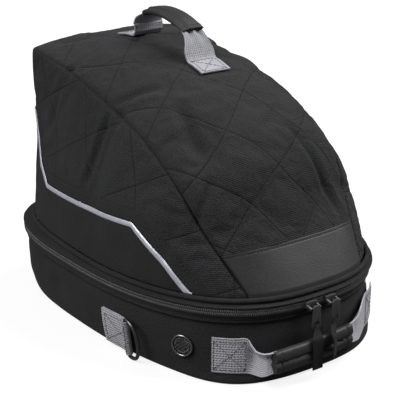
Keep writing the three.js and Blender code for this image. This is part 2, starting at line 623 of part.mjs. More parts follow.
// The tab: one strip, doubled over the ring's straight bar. Its path is in [along, out] from the bar.
function tabGeometry() {
  const { thick, layerGap, underGap, long } = TAB;
  const eye = RING.wire + GAP + thick / 2;
  const lowOut = GAP + thick / 2 + underGap;
  const highOut = lowOut + thick + layerGap;
  const neck = eye + TAB.neck;
  const fold = steps(-130, 130, 10).map(radians).map((a) => [
    eye * Math.cos(a), RING.standOff + eye * Math.sin(a),
  ]);
  const under = steps(-long, -neck, 4).map((a) => [a, lowOut]);
  const over = steps(-neck, -long, 4).map((a) => [a, highOut]);
  const path = [...under, ...fold, ...over];
  const angle = radians(RING.angle);
  const levels = steps(TAB.lowZ, TAB.highZ, 3);
  const rings = path.map((point, i) => {
    const before = path[Math.max(i - 1, 0)];
    const after = path[Math.min(i + 1, path.length - 1)];
    const run = new THREE.Vector2(after[0] - before[0], after[1] - before[1]).normalize();
    const place = (side, z) => {
      const a = point[0] - run.y * side * thick * 0.5;
      const o = point[1] + run.x * side * thick * 0.5;
      const onWall = wallFrame(angleAfter(angle, Math.min(a, 0), z), z);
      const sewn = onWall.origin.addScaledVector(onWall.out, o);
      const onBar = ringFrame.origin.clone().addScaledVector(ringFrame.up, (z - RING.z) / ringFrame.up.z);
      const looped = onBar.addScaledVector(ringFrame.out, o).addScaledVector(ringFrame.along, a);
      return sewn.lerp(looped, THREE.MathUtils.smoothstep(a, -neck - TAB.taper, -neck));
    };
    return [...levels.map((z) => place(1, z)), ...[...levels].reverse().map((z) => place(-1, z))];
  });
  return skin(rings);
}

// The vent: a rolled metal eyelet round a mesh disc, set on the wall.
const ventFrame = wallFrame(radians(VENT.angle), VENT.z);
function onVent(geometry, lift) {
  const turn = new THREE.Matrix4().makeBasis(ventFrame.along, ventFrame.up, ventFrame.out);
  const place = ventFrame.origin.clone().addScaledVector(ventFrame.out, lift);
  return geometry.applyMatrix4(turn.setPosition(place));
}
function ventRimGeometry() {
  const { radius, bore, depth } = VENT;
  const { wallShare, topIn, boreOut, boreShare } = VENT_RIM;
  const profile = [
    [bore, 0], [radius, 0], [radius, depth * wallShare], [radius - topIn, depth],
    [bore + boreOut, depth], [bore, depth * boreShare], [bore, 0],
  ];
  const lathe = new THREE.LatheGeometry(profile.map(([r, y]) => new THREE.Vector2(r, y)), DISC_FACETS);
  return onVent(lathe.rotateX(Math.PI / 2), VENT.lift);
}
function ventDiscGeometry() {
  const radius = VENT.bore - GAP;
  const disc = new THREE.CylinderGeometry(radius, radius, VENT.discThick, DISC_FACETS);
  return onVent(disc.rotateX(Math.PI / 2), VENT.lift + VENT.discThick / 2 + VENT.discIn);
}

const SIDES = [
  { side: 'left', turned: (geometry) => geometry },
  { side: 'right', turned: mirrored },
];
for (const { side, turned } of SIDES) {
  add(`ring_tab_${side}`, turned(tabGeometry()), GREY_WEBBING);
  add(`strap_ring_${side}`, turned(ringGeometry()), DARK_NICKEL);
  add(`vent_rim_${side}`, turned(ventRimGeometry()), DARK_NICKEL);
  add(`vent_disc_${side}`, turned(ventDiscGeometry()), MESH_DISC);
}

// Front handle: webbing sewn to the wall at both ends, gathered into a coated grip

// Webbing through rows of x, y, z and width, its width along one axis, its face square to its run.
function webbing(rows, across) {
  const curve = new THREE.CatmullRomCurve3(rows.map(({ x, y, z }) => vec(x, y, z)));
  return strap(rows.map(({ wide }, i) => {
    const t = i / (rows.length - 1);
    const run = curve.getPoint(Math.min(t + 0.01, 1)).sub(curve.getPoint(Math.max(t - 0.01, 0)));
    const face = run.cross(across).normalize();
    return { middle: curve.getPoint(t), across, face, wide, thick: WEBBING.thick };
  }));
}
const { patchFrom, patchTo, patchSteps } = FRONT_HANDLE;
const sewnRow = (degrees) => {
  const { x, y, z } = basePoint(radians(degrees), FRONT_HANDLE.z, FRONT_HANDLE.lift);
  return { x, y, z, wide: WEBBING.width };
};
const gripZ = (x) => {
  const { left, right, z, climb } = FRONT_GRIP;
  return z + (climb * (x - left)) / (right - left);
};
const neckRow = (x) => ({ x, y: FRONT_GRIP.y, z: gripZ(x), wide: FRONT_NECK });
const leftRows = [
  ...steps(patchFrom, patchTo, patchSteps).map(sewnRow),
  ...LEFT_LOOSE,
  neckRow(FRONT_GRIP.left - FRONT_GRIP.endGap),
];
const rightRows = [
  neckRow(FRONT_GRIP.right + FRONT_GRIP.endGap),
  ...RIGHT_LOOSE,
  ...steps(-180 - patchTo, -180 - patchFrom, patchSteps).map(sewnRow),
];
add('front_webbing_left', webbing(leftRows, vec(0, 0, 1)), GREY_WEBBING);
add('front_webbing_right', webbing(rightRows, vec(0, 0, 1)), GREY_WEBBING);

// The grip: two rolls, one on the other, pinched at its ends.
function frontGripGeometry() {
  const { left, right, y, high, thick, endSize, shoulder } = FRONT_GRIP;
  const rows = [
    { t: 0, size: endSize },
    { t: shoulder, size: 1 },
    { t: 1 - shoulder, size: 1 },
    { t: 1, size: endSize },
  ];
  const half = high / 4;
  const roll = (centre, from, to) => steps(from, to, 5).map((a) => [
    (thick / 2) * Math.cos(radians(a)), centre + half * Math.sin(radians(a)),
  ]);
  const outline = [...roll(-half, -90, 60), ...roll(half, -60, 90)];
  const section = [...outline, ...outline.map(([a, b]) => [-a, b]).reverse()];
  return skin(rows.map(({ t, size }) => {
    const x = THREE.MathUtils.lerp(left, right, t);
    return section.map(([a, b]) => vec(x, y - a * size, gripZ(x) + b * size));
  }));
}
add('front_grip', frontGripGeometry(), COATED);

// Top handle: webbing sewn to the crown before and behind, with a coated grip arched between

const uAtY = (y) => 1 - solve((t) => topPoint(1 - t, 0).y, y, 0, 1);
const crownRow = (onY) => {
  const u = uAtY(onY);
  const { x, y, z } = topPoint(u, 0).addScaledVector(topNormal(u, 0), TOP_HANDLE.lift);
  return { x, y, z, wide: WEBBING.width };
};
const onMiddle = ({ y, z, wide }) => ({ x: 0, y, z, wide });
const gripEnd = (y, z) => ({ x: 0, y, z: z - TOP_NECK.drop, wide: TOP_NECK.wide });
const { backEndY, backSewnY, frontSewnY, frontEndY } = TOP_HANDLE;
const backRows = [
  ...steps(backEndY, backSewnY, 3).map(crownRow),
  ...BACK_LOOSE.map(onMiddle),
  gripEnd(TOP_GRIP.backY + TOP_NECK.gap, TOP_GRIP.backZ),
];
const frontRows = [
  gripEnd(TOP_GRIP.frontY - TOP_NECK.gap, TOP_GRIP.frontZ),
  ...FRONT_LOOSE.map(onMiddle),
  ...steps(frontSewnY, frontEndY, 3).map(crownRow),
];
add('top_webbing_back', webbing(backRows, vec(1, 0, 0)), GREY_WEBBING);
add('top_webbing_front', webbing(frontRows, vec(1, 0, 0)), GREY_WEBBING);

function topGripGeometry() {
  const { wide, thick, backY, frontY, backZ, peakZ, frontZ, peakBack, roundness } = TOP_GRIP;
  const squared = (w) => Math.sign(w) * Math.abs(w) ** roundness;
  const curve = new THREE.QuadraticBezierCurve3(
    vec(0, backY, backZ),
    vec(0, (backY + frontY) / 2 + peakBack, 2 * peakZ - (backZ + frontZ) / 2),
    vec(0, frontY, frontZ),
  );
  return skin(steps(0, 1, 10).map((t) => {
    const middle = curve.getPoint(t);
    const run = curve.getTangent(t);
    const face = vec(0, -run.z, run.y).normalize().multiplyScalar(Math.sign(-run.y));
    return range(12).map((k) => {
      const a = ((k + 0.5) / 12) * 2 * Math.PI;
      const [aside, rise] = [(wide / 2) * squared(Math.cos(a)), (thick / 2) * squared(Math.sin(a))];
      return vec(aside, 0, 0).add(middle).addScaledVector(face, rise);
    });
  }));
}
add('top_grip', topGripGeometry(), COATED);

// Zip sliders: body with a bail, pull tab hung on the bail's bar by the eye behind it, ribbon through the tab

const PLATE_Y = -(BAR.radius + PULL_EYE.clearOfBar + PULL.thick / 2);
const PULL_HOLE_Z = PULL.rise - PULL.long + PULL_HOLE.above + PULL_HOLE.radius;
const box = (w, d, h, x, y, z) => new THREE.BoxGeometry(w, d, h).translate(x, y, z);
function barAlongX(radius, long, sides) {
  return new THREE.CylinderGeometry(radius, radius, long, sides).rotateZ(Math.PI / 2);
}

// Slider in its own frame: X along the zip, -Y out of the bag, origin at the middle of the bar.
function sliderGeometry() {
  const { long, high, deep, noseLong, noseHigh } = SLIDER;
  const { radius, drop, span, armWide, armHigh } = BAR;
  const middleY = BAR.out + deep / 2;
  const body = box(long, deep, high, 0, middleY, drop);
  const nose = box(noseLong, deep, noseHigh, 0, middleY, drop);
  const reach = Math.hypot(middleY, drop) + 2 * radius;
  const arm = (x) => box(armWide, reach, armHigh, 0, 0, 0).rotateX(Math.atan2(drop, middleY))
    .translate(x, middleY / 2, drop / 2);
  const bar = barAlongX(radius, span + armWide, 10);
  return join(body, nose, arm(-span / 2), arm(span / 2), bar);
}
function pullGeometry(eyeAt) {
  const { rise, long, thick, topCorner, lowCorner } = PULL;
  const [top, low, end] = [PULL.topWide / 2, PULL.lowWide / 2, rise - long];
  const outline = new THREE.Shape();
  outline.moveTo(topCorner - top, rise);
  outline.lineTo(top - topCorner, rise);
  outline.quadraticCurveTo(top, rise, top, rise - topCorner);
  outline.lineTo(low, end + lowCorner);
  outline.quadraticCurveTo(low, end, low - lowCorner, end);
  outline.lineTo(lowCorner - low, end);
  outline.quadraticCurveTo(-low, end, -low, end + lowCorner);
  outline.lineTo(-top, rise - topCorner);
  outline.quadraticCurveTo(-top, rise, topCorner - top, rise);
  const plate = new THREE.ExtrudeGeometry(outline, { depth: thick, bevelEnabled: false, curveSegments: 3 });
  plate.rotateX(Math.PI / 2).translate(0, thick / 2 + PLATE_Y, 0);
  const roll = barAlongX(PULL_EYE.outer, PULL_EYE.wide, 12);
  const bore = barAlongX(PULL_EYE.bore, PULL_EYE.wide * 2, 12);
  const { radius } = PULL_HOLE;
  const hole = new THREE.CylinderGeometry(radius, radius, thick * 3, 14).translate(0, PLATE_Y, PULL_HOLE_Z);
  return cut(join(plate, roll), bore, hole).translate(eyeAt, 0, 0);
}

// The ribbon runs through the tab's hole from behind, round its foot, over the front grip and down.
function ribbonGeometry(barY, barZ, { eyeAt, ribbonTurn, ribbonEndZ }) {
  const { wide, neck } = RIBBON;
  const { tail, tailDrop, out, rise, crown, leave, leaveWide } = RIBBON_LOOP;
  const { middleLow, middleOut, endOut } = RIBBON_HANG;
  const frontY = FRONT_GRIP.y - FRONT_GRIP.thick / 2 - RIBBON.clearOfGrip - barY;
  const endZ = ribbonEndZ - barZ;
  const footZ = PULL.rise - PULL.long + PULL_HOLE.above / 2;
  const [inside, outside] = [tail, 2 * PLATE_Y - tail];
  const rows = [
    { y: inside, z: footZ - tailDrop, wide: neck, turn: 0 },
    { y: inside, z: footZ, wide: neck, turn: 0 },
    { y: PLATE_Y + out, z: footZ + rise - crown, wide: neck, turn: 0 },
    { y: PLATE_Y, z: footZ + rise, wide: neck, turn: 0 },
    { y: PLATE_Y - out, z: footZ + rise - crown, wide: neck, turn: 0 },
    { y: outside - leave, z: footZ - leave, wide: neck + leaveWide, turn: 0 },
    ...RIBBON_WAY.map(({ toFront, drop, wideShare, turnShare }) => ({
      y: THREE.MathUtils.lerp(outside, frontY, toFront),
      z: footZ - drop,
      wide: wide * wideShare,
      turn: ribbonTurn * turnShare,
    })),
    { y: frontY - middleOut, z: (footZ + endZ) / 2 - middleLow, wide, turn: ribbonTurn },
    { y: frontY - endOut, z: endZ, wide, turn: ribbonTurn },
  ];
  return strap(rows.map((row, i) => {
    const [p, q] = [rows[Math.max(i - 1, 0)], rows[Math.min(i + 1, rows.length - 1)]];
    const run = vec(0, q.y - p.y, q.z - p.z).normalize();
    const across = vec(1, 0, 0).applyAxisAngle(run, radians(row.turn));
    const lean = Math.abs(across.y) * (row.wide / 2);
    const middle = vec(eyeAt, row.y - lean, row.z);
    return { middle, across, face: across.clone().cross(run), wide: row.wide, thick: RIBBON.thick };
  }));
}

for (const slider of SLIDERS) {
  const { side, angle, eyeAt } = slider;
  const seat = planPoint(radians(angle));
  const group = new THREE.Group();
  group.position.set(seat.x, seat.y - GAP - SLIDER.deep - BAR.out, ZIP.z - BAR.drop);
  bag.add(group);
  add(`slider_${side}`, sliderGeometry(), BLACK_METAL, group);
  add(`pull_tab_${side}`, pullGeometry(eyeAt), BLACK_METAL, group);
  add(`ribbon_${side}`, ribbonGeometry(group.position.y, group.position.z, slider), NYLON, group);
}

export default bag;
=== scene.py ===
"""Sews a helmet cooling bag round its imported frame: quilted lid, zip, soft base, webbing and hardware."""

import json
import math
from collections import namedtuple
from functools import lru_cache

import bmesh
import bpy
from mathutils import Matrix, Vector, noise


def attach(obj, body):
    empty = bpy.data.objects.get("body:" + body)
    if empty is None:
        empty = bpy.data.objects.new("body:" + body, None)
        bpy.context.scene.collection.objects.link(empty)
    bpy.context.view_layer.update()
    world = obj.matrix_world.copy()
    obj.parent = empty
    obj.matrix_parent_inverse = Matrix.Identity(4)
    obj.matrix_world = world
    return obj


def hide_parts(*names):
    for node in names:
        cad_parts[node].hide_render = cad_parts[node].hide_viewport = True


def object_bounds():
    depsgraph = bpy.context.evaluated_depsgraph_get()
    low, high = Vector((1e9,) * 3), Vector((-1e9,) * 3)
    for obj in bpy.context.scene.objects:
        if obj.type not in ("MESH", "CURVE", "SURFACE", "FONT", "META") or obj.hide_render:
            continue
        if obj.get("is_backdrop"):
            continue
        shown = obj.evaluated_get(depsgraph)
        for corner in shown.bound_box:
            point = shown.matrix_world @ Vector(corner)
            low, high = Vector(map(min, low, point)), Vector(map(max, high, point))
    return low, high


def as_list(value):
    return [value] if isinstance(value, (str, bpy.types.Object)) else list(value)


bl_info = {
    "name": "Helmet bag",
    "version": (1, 0, 0),
    "blender": (4, 5, 0),
    "location": "View3D > Sidebar > Bag",
    "description": "Sews a quilted helmet bag round its packed frame",
    "category": "Object",
}

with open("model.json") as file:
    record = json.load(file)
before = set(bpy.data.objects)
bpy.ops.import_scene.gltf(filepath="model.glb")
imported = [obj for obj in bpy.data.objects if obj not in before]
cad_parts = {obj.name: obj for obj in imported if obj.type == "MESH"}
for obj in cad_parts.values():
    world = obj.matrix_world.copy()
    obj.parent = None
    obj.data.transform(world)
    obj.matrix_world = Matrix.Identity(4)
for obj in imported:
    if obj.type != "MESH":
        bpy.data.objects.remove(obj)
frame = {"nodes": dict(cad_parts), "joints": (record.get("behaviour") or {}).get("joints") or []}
CAD_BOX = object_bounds()

# Shape of the bag, in millimetres, as its frame has it

MM = 0.001
WIDEST_Y = 18
HALF_WIDTH = 154
FRONT_REACH = 230
BACK_REACH = 194
FRONT_POWER = 2.56
BACK_POWER = 2.97
ZIP_Z = 75
TOOTH_HIGH = 6.9
FOOT_Z = 89
LID_ROLL_RADIUS = 2.8
LID_ROLL_OUT = 0.8
BASE_RIM_Z = 62.6
BASE_ROLL_RADIUS = 1.55
BASE_ROLL_IN = 4.6
HINGE_HALF_WIDTH = 70
PATCH_HALF_WIDTH = 75
PATCH_TOP_U = 0.885
CROWN_POWER = 2.8
BACK_SPAN = 0.3
LINE_HALF = 2.5
BORDER_WIDE = 12
STEEPEST_LINE = 2.5
LEFT_BULGE = 6
RIGHT_BULGE = 12
CORNER_BULGE = -2.5
BACK_BULGE = 5
FULL_WALL = 120
WEBBING_WIDE = 38
WEBBING_THICK = 1.5
CLOTH_THICK = 1.6
PADDED_THICK = 3.4
LID_IN_FRONT = 6
LID_IN_BACK = 12

SeamRow = namedtuple("SeamRow", "u half_width y z crown lean")
SEAM = [
    SeamRow(0 / 6, 108, 163, 279, 10, 0),
    SeamRow(1 / 6, 106.5, 84, 265, 27, 4),
    SeamRow(2 / 6, 106, 14, 246, 40, 14),
    SeamRow(3 / 6, 106, -56, 222, 40, 28),
    SeamRow(4 / 6, 105, -110, 188, 34, 45),
    SeamRow(5 / 6, 93, -147, 141, 23, 66),
]

Dent = namedtuple("Dent", "a b reach_a reach_b depth")
TOP_DENTS = [
    Dent(0.57, -0.72, 0.07, 0.22, 5),
    Dent(0.76, 0.6, 0.1, 0.16, 5),
    Dent(0.05, -0.15, 0.05, 0.4, 4),
    Dent(0.25, 0.8, 0.07, 0.3, 14),
]
WALL_DENTS = [
    Dent(0.63, 0.72, 0.035, 0.3, 6),
    Dent(0.3, 0.55, 0.04, 0.3, 4),
    Dent(0.86, 0.62, 0.05, 0.2, 4),
]
BASE_DENTS = [
    Dent(math.radians(152), 48, math.radians(7), 12, 4),
    Dent(math.radians(166), 34, math.radians(6), 14, 3),
    Dent(math.radians(244), 0, math.radians(12), 6.5, -6),
]

# Creases pressed into the cloth: from one place to another, with a depth and a reach
Crease = namedtuple("Crease", "from_a from_b to_a to_b depth reach")
TOP_CREASES = [
    Crease(8, -92, 32, -42, 4.0, 13),
    Crease(32, -42, 104, -10, 4.0, 13),
    Crease(205, -78, 262, -88, 2.6, 8),
    Crease(262, 40, 360, 88, 3.0, 8),
    Crease(100, 74, 150, 106, 4.0, 8),
    Crease(153, -122, 174, -78, 1.6, 6),
    Crease(296, -96, 332, -124, 2.2, 7),
]
SIDE_CREASES = [
    Crease(3, 234, 15, 160, 3.0, 5.5),
    Crease(-123, 160, -90, 170, 1.3, 5),
    Crease(-144, 134, -120, 141, 1.2, 5),
    Crease(-152, 119, -128, 135, 1.2, 5),
    Crease(96, 250, 114, 200, 1.2, 6),
]

# Tucks where the seam of top and side is drawn in, by u along it
Tuck = namedtuple("Tuck", "u reach depth")
SEAM_TUCKS = [
    Tuck(0.16, 0.012, 6.5),
    Tuck(0.39, 0.014, 6.5),
    Tuck(0.55, 0.012, 1.5),
    Tuck(0.78, 0.018, 3.0),
]

LineRow = namedtuple("LineRow", "at z")
LINE = [
    LineRow(0.165, 89),
    LineRow(0.456, 142),
    LineRow(0.87, 134),
    LineRow(0.93, 152),
    LineRow(1, 208),
    LineRow(1.3, 216),
]

# Pieces of sheet cloth: the node that each stands for, its finish, its thickness in millimetres, the
# columns and rows of its mesh, and in metres the size that its weave follows and its flat cut before it was
# sewn. A cut has an area where it isn't a rectangle: the patch is a trapezium, the skirt follows the
# reflective line, the floor is an egg, and the line's tape is 6 mm wide.
Cut = namedtuple("Cut", "width length area", defaults=[None])
Cloth = namedtuple("Cloth", "node look thick grid weave cut held rests_on")
CLOTHS = {
    "front_patch_cloth": Cloth(
        "front_patch", "coated", 1.4, (50, 150), (0.052, 0.25), Cut(0.053, 0.19, 0.0092),
        "stretched", ["top_panel_cloth", "lid_roll_cloth"],
    ),
    "border_strip_cloth": Cloth(
        "border_strip", "cloth", CLOTH_THICK, (420, 10), (0.95, 0.014), Cut(0.014, 0.95),
        "stretched", ["side_panel_cloth"],
    ),
    "reflective_piping": Cloth(
        "reflective_line", "silver", CLOTH_THICK, (420, 8), (0.95, 0.006), Cut(0.01, 0.95, 0.0057),
        "stretched", ["side_panel_cloth", "skirt_cloth"],
    ),
    "skirt_cloth": Cloth(
        "skirt_panel", "cloth", CLOTH_THICK, (380, 44), (0.88, 0.06), Cut(0.127, 0.86, 0.057),
        "stretched", ["lid_roll_cloth"],
    ),
    "base_wall_cloth": Cloth(
        "base_wall", "cloth", CLOTH_THICK, (480, 34), (1.2, 0.0626), Cut(0.066, 1.2),
        "stretched", ["base_floor_cloth"],
    ),
    "base_floor_cloth": Cloth(
        "base_floor", "cloth", 2.0, (60, 60), (0.27, 0.4), Cut(0.285, 0.415, 0.101), "laid", [],
    ),
    "zip_tape_cloth": Cloth(
        "zip_tape", "tape", 1.0, (480, 6), (1.1, 0.009), Cut(0.012, 1.1), "stretched", ["base_roll_cloth"],
    ),
    "zip_flap_cloth": Cloth(
        "zip_flap", "cloth", 1.1, (480, 16), (1.1, 0.014), Cut(0.012, 1.1), "stretched", ["lid_roll_cloth"],
    ),
    "hinge_cloth": Cloth(
        "hinge_strip", "cloth", 1.2, (80, 12), (0.14, 0.018), Cut(0.02, 0.142),
        "stretched", ["lid_roll_cloth", "base_roll_cloth"],
    ),
}

# The colour slot that each finish belongs to
SLOTS = {
    "cloth": "black_cloth",
    "top_quilt": "quilted_cloth",
    "side_quilt": "quilted_cloth",
    "coated": "coated_cloth",
    "webbing": "grey_webbing",
    "silver": "silver_line",
    "nylon": "black_nylon",
    "tape": "black_nylon",
    "coil": "black_nylon",
    "nickel": "dark_nickel",
    "ring": "dark_nickel",
    "metal": "black_metal",
    "mesh": "vent_mesh",
}

BaseRow = namedtuple("BaseRow", "z side front back corner")
BASE_PROFILE = [
    BaseRow(0, -13, -3, -7, 4),
    BaseRow(6, -10.5, -0.5, -4, 5),
    BaseRow(25, -6, 0.5, -2, 3),
    BaseRow(45, -4, -0.5, -2, 1),
    BaseRow(BASE_RIM_Z, -6, -5.5, -6, 0),
]


# Sizes and colours that a user would change


def length(name, description, default):
    return bpy.props.FloatProperty(
        name=name, description=description, default=default, unit="LENGTH", precision=5
    )


def colour(name, description, default):
    return bpy.props.FloatVectorProperty(
        name=name, description=description, default=default, subtype="COLOR", size=3, min=0, max=1
    )


class BagSizes(bpy.types.PropertyGroup):
    """Sizes of the sewing and of the cloth's relief."""

    puff: length("Quilt puff", "Height of the padding between quilt lines", 0.0008)
    groove: length("Quilt groove", "Depth of a quilt line", 0.0005)
    rumple: length("Rumple", "Height of the cloth's loose waves", 0.0011)
    stitch: length("Stitch", "Length of one stitch", 0.0032)
    stitch_pitch: length("Stitch pitch", "Distance between two stitches", 0.0046)
    thread: length("Thread radius", "Radius of the sewing thread", 0.00032)
    weave: length("Weave pitch", "Distance between two threads of the cloth", 0.0009)
    rib: length("Webbing rib", "Distance between two ribs of the webbing", 0.0026)
    tooth_pitch: length("Tooth pitch", "Distance between two zip teeth", 0.0021)


class BagColours(bpy.types.PropertyGroup):
    """Colours of the bag's finishes."""

    cloth: colour("Black cloth", "Plain woven cloth", (0.0235, 0.0235, 0.0242))
    quilted: colour("Quilted cloth", "Cloth of the padded panels", (0.0285, 0.0288, 0.0302))
    coated: colour("Coated cloth", "Coated patch and grips", (0.023, 0.023, 0.0242))
    webbing: colour("Webbing", "Grey webbing", (0.40, 0.40, 0.43))
    silver: colour("Silver line", "Reflective line", (0.56, 0.57, 0.63))
    nylon: colour("Nylon", "Zip coil, tape and ribbons", (0.016, 0.016, 0.0165))
    nickel: colour("Dark nickel", "Rings and eyelets", (0.27, 0.27, 0.275))
    metal: colour("Black metal", "Sliders and pull tabs", (0.07, 0.07, 0.074))


def sizes():
    return bpy.context.scene.bag_sizes


def colours():
    return bpy.context.scene.bag_colours


# Small sums


def lerp(a, b, w):
    return a + (b - a) * w


def smoothstep(x, low, high):
    w = min(max((x - low) / (high - low), 0), 1)
    return w * w * (3 - 2 * w)


def bump(d, reach):
    return math.exp(-((d / reach) ** 2))


def interval(table, key, at):
    """Index of the table's row before the value, never the last row."""
    i = 0
    while i < len(table) - 2 and at > getattr(table[i + 1], key):
        i += 1
    return i


def read(table, key, at, column):
    """Smooth reading of a table's column at a value of its key column."""
    last = len(table) - 1
    i = interval(table, key, at)

    def slope(k):
        a, b = table[max(k - 1, 0)], table[min(k + 1, last)]
        return (getattr(b, column) - getattr(a, column)) / (getattr(b, key) - getattr(a, key))

    low, high = table[i], table[i + 1]
    span = getattr(high, key) - getattr(low, key)
    w = (at - getattr(low, key)) / span
    rise = getattr(high, column) - getattr(low, column)
    start, end = slope(i) * span, slope(i + 1) * span
    return getattr(low, column) + w * (
        start + w * (3 * rise - 2 * start - end + w * (start + end - 2 * rise))
    )


def solve(rising, target, low, high):
    """Argument at which a rising function reaches the target."""
    for _ in range(50):
        middle = (low + high) / 2
        if rising(middle) < target:
            low = middle
        else:
            high = middle
    return (low + high) / 2


def dent_depth(dents, a, b):
    return sum(d.depth * bump(a - d.a, d.reach_a) * bump(b - d.b, d.reach_b) for d in dents)


CREASE_OVERRUN = 0.3
CREASE_SIDE = 0.55


def crease_depth(creases, a, b):
    """Relief of pressed creases: a valley along each line, with the cloth pushed up on both sides."""
    total = 0
    for c in creases:
        run_a, run_b = c.to_a - c.from_a, c.to_b - c.from_b
        share = ((a - c.from_a) * run_a + (b - c.from_b) * run_b) / (run_a**2 + run_b**2)
        if not -CREASE_OVERRUN < share < 1 + CREASE_OVERRUN:
            continue
        off = math.hypot(a - c.from_a - share * run_a, b - c.from_b - share * run_b) / c.reach
        fade = smoothstep(share, -0.25, 0.2) * smoothstep(1.25 - share, 0, 0.45)
        total += c.depth * fade * (CREASE_SIDE * bump(off - 1.6, 0.9) - bump(off, 0.75))
    return total


def rumple(p, scale):
    """Loose waves of cloth at a place, about -1 to 1, with waves of about that length."""
    return noise.noise(p / scale) + 0.5 * noise.noise(p / (0.45 * scale) + Vector((7, 3, 5)))


# Plan: an egg of two half superellipses that share their widest line


def plan_half(s):
    """Reach and power of the plan's front half or back half."""
    return (FRONT_REACH, FRONT_POWER) if s < 0 else (BACK_REACH, BACK_POWER)


def plan_normal(angle):
    c, s = math.cos(angle), math.sin(angle)
    along, power = plan_half(s)
    x = math.copysign(abs(c / HALF_WIDTH) ** (power - 1) / HALF_WIDTH, c)
    y = math.copysign(abs(s / along) ** (power - 1) / along, s)
    return Vector((x, y, 0)).normalized()


def plan_point(angle, out=0.0, z=0.0):
    c, s = math.cos(angle), math.sin(angle)
    along, power = plan_half(s)
    r = (abs(c / HALF_WIDTH) ** power + abs(s / along) ** power) ** (-1 / power)
    return Vector((r * c, r * s + WIDEST_Y, z)) + plan_normal(angle) * out


FINE_STEPS = 1200


def even_angles(start, end, count):
    """Plan angles at even distances along the zip line."""
    fine = [lerp(start, end, i / FINE_STEPS) for i in range(FINE_STEPS + 1)]
    run = [0]
    for a, b in zip(fine, fine[1:]):
        run.append(run[-1] + (plan_point(b) - plan_point(a)).length)
    angles, i = [], 1
    for k in range(count + 1):
        want = run[-1] * k / count
        while i < FINE_STEPS and run[i] < want:
            i += 1
        angles.append(lerp(fine[i - 1], fine[i], (want - run[i - 1]) / (run[i] - run[i - 1])))
    return angles


ROUND = even_angles(-math.pi, math.pi, 960)
HINGE_TURN = solve(lambda a: -plan_point(a).x, -HINGE_HALF_WIDTH, 0, math.pi / 2)
ZIP_ROUND = even_angles(math.pi - HINGE_TURN, 2 * math.pi + HINGE_TURN, 960)
ZIP_LENGTH = sum((plan_point(b) - plan_point(a)).length for a, b in zip(ZIP_ROUND, ZIP_ROUND[1:]))


def part_way(values, s):
    """Value a share of the way through an even list."""
    at = min(max(s, 0), 1) * (len(values) - 1)
    i = min(int(at), len(values) - 2)
    return lerp(values[i], values[i + 1], at - i)


def base_out(angle, z):
    n = plan_normal(angle)
    end = read(BASE_PROFILE, "z", z, "front" if n.y < 0 else "back")
    corner = read(BASE_PROFILE, "z", z, "corner") * 4 * (n.x * n.y) ** 2 if n.y < 0 else 0
    dents = dent_depth(BASE_DENTS, angle % (2 * math.pi), z)
    return read(BASE_PROFILE, "z", z, "side") * n.x**2 + end * n.y**2 + corner - dents


def base_point(angle, z, lift=0.0):
    return plan_point(angle, base_out(angle, z) + lift, z)


def lid_in(angle):
    return lerp(LID_IN_FRONT, LID_IN_BACK, smoothstep(plan_point(angle).y, -60, 140))


# Lid: top surface by u (back to front) and v (left to right), wall by station and height

FOOT_FRONT = solve(lambda a: plan_point(a, -LID_IN_FRONT).x, PATCH_HALF_WIDTH, -math.pi / 2, 0)
FOOT_FRONT_Y = plan_point(FOOT_FRONT, -LID_IN_FRONT).y
NOSE_Y = plan_point(-math.pi / 2, -LID_IN_FRONT).y
SEAM.append(SeamRow(1, PATCH_HALF_WIDTH, FOOT_FRONT_Y, FOOT_Z + 1, FOOT_FRONT_Y - NOSE_Y, 90))
FOOT_BACK = math.pi / 2 - solve(
    lambda a: plan_point(math.pi / 2 - a, -LID_IN_BACK).x, SEAM[0].half_width, 0, math.pi / 2
)
FOOT_BACK_Y = plan_point(FOOT_BACK, -LID_IN_BACK).y


@lru_cache(maxsize=4000)
def seam_at(u):
    return SeamRow(u, *(read(SEAM, "u", u, c) for c in SeamRow._fields[1:]))


def top_point(u, v):
    row = seam_at(u)
    dent = dent_depth(TOP_DENTS, u, v) * (1 - v**8)
    rise = row.crown * (1 - abs(v) ** CROWN_POWER) - dent
    lean = math.radians(row.lean)
    return Vector((v * row.half_width, row.y - rise * math.sin(lean), row.z + rise * math.cos(lean)))


LAST_STATION = 2 + 2 * BACK_SPAN
Station = namedtuple("Station", "top foot out bulge at")


@lru_cache(maxsize=20000)
def station(s):
    """Column of the lid's wall: 0 left front foot, 1 left back corner, then the back and the right side."""
    if s <= 1:
        u, v, at = 1 - s, -1, s
    elif s >= LAST_STATION - 1:
        u, v, at = s - LAST_STATION + 1, 1, LAST_STATION - s
    else:
        v = (s - 1) / BACK_SPAN - 1
        u, at = 0, 1 + BACK_SPAN * (1 - abs(v))
    if u == 0 and abs(v) < 1:
        angle = math.pi / 2 - v * (math.pi / 2 - FOOT_BACK)
    else:
        share = (seam_at(u).y - FOOT_FRONT_Y) / (SEAM[0].y - FOOT_FRONT_Y)
        y = lerp(FOOT_FRONT_Y, FOOT_BACK_Y, share)
        right = solve(lambda a: plan_point(a, -LID_IN_FRONT).y, y, FOOT_FRONT, FOOT_BACK)
        angle = right if v > 0 else math.pi - right
    behind = max(at - 1, 0) / BACK_SPAN
    side = lerp(RIGHT_BULGE if v > 0 else LEFT_BULGE, CORNER_BULGE, smoothstep(at, 0.55, 1))
    bulge = side + (BACK_BULGE - CORNER_BULGE) * (1 - (1 - behind) ** 2)
    foot = plan_point(angle, -lid_in(angle), FOOT_Z)
    return Station(top_point(u, v), foot, plan_normal(angle), bulge, at)


def wall_point(s, h):
    st = station(s)
    share = min((st.top.z - FOOT_Z) / FULL_WALL, 1)
    swell = share * 4 * h * (1 - h) * (st.bulge - dent_depth(WALL_DENTS, st.at, h))
    return st.foot.lerp(st.top, h) + st.out * swell


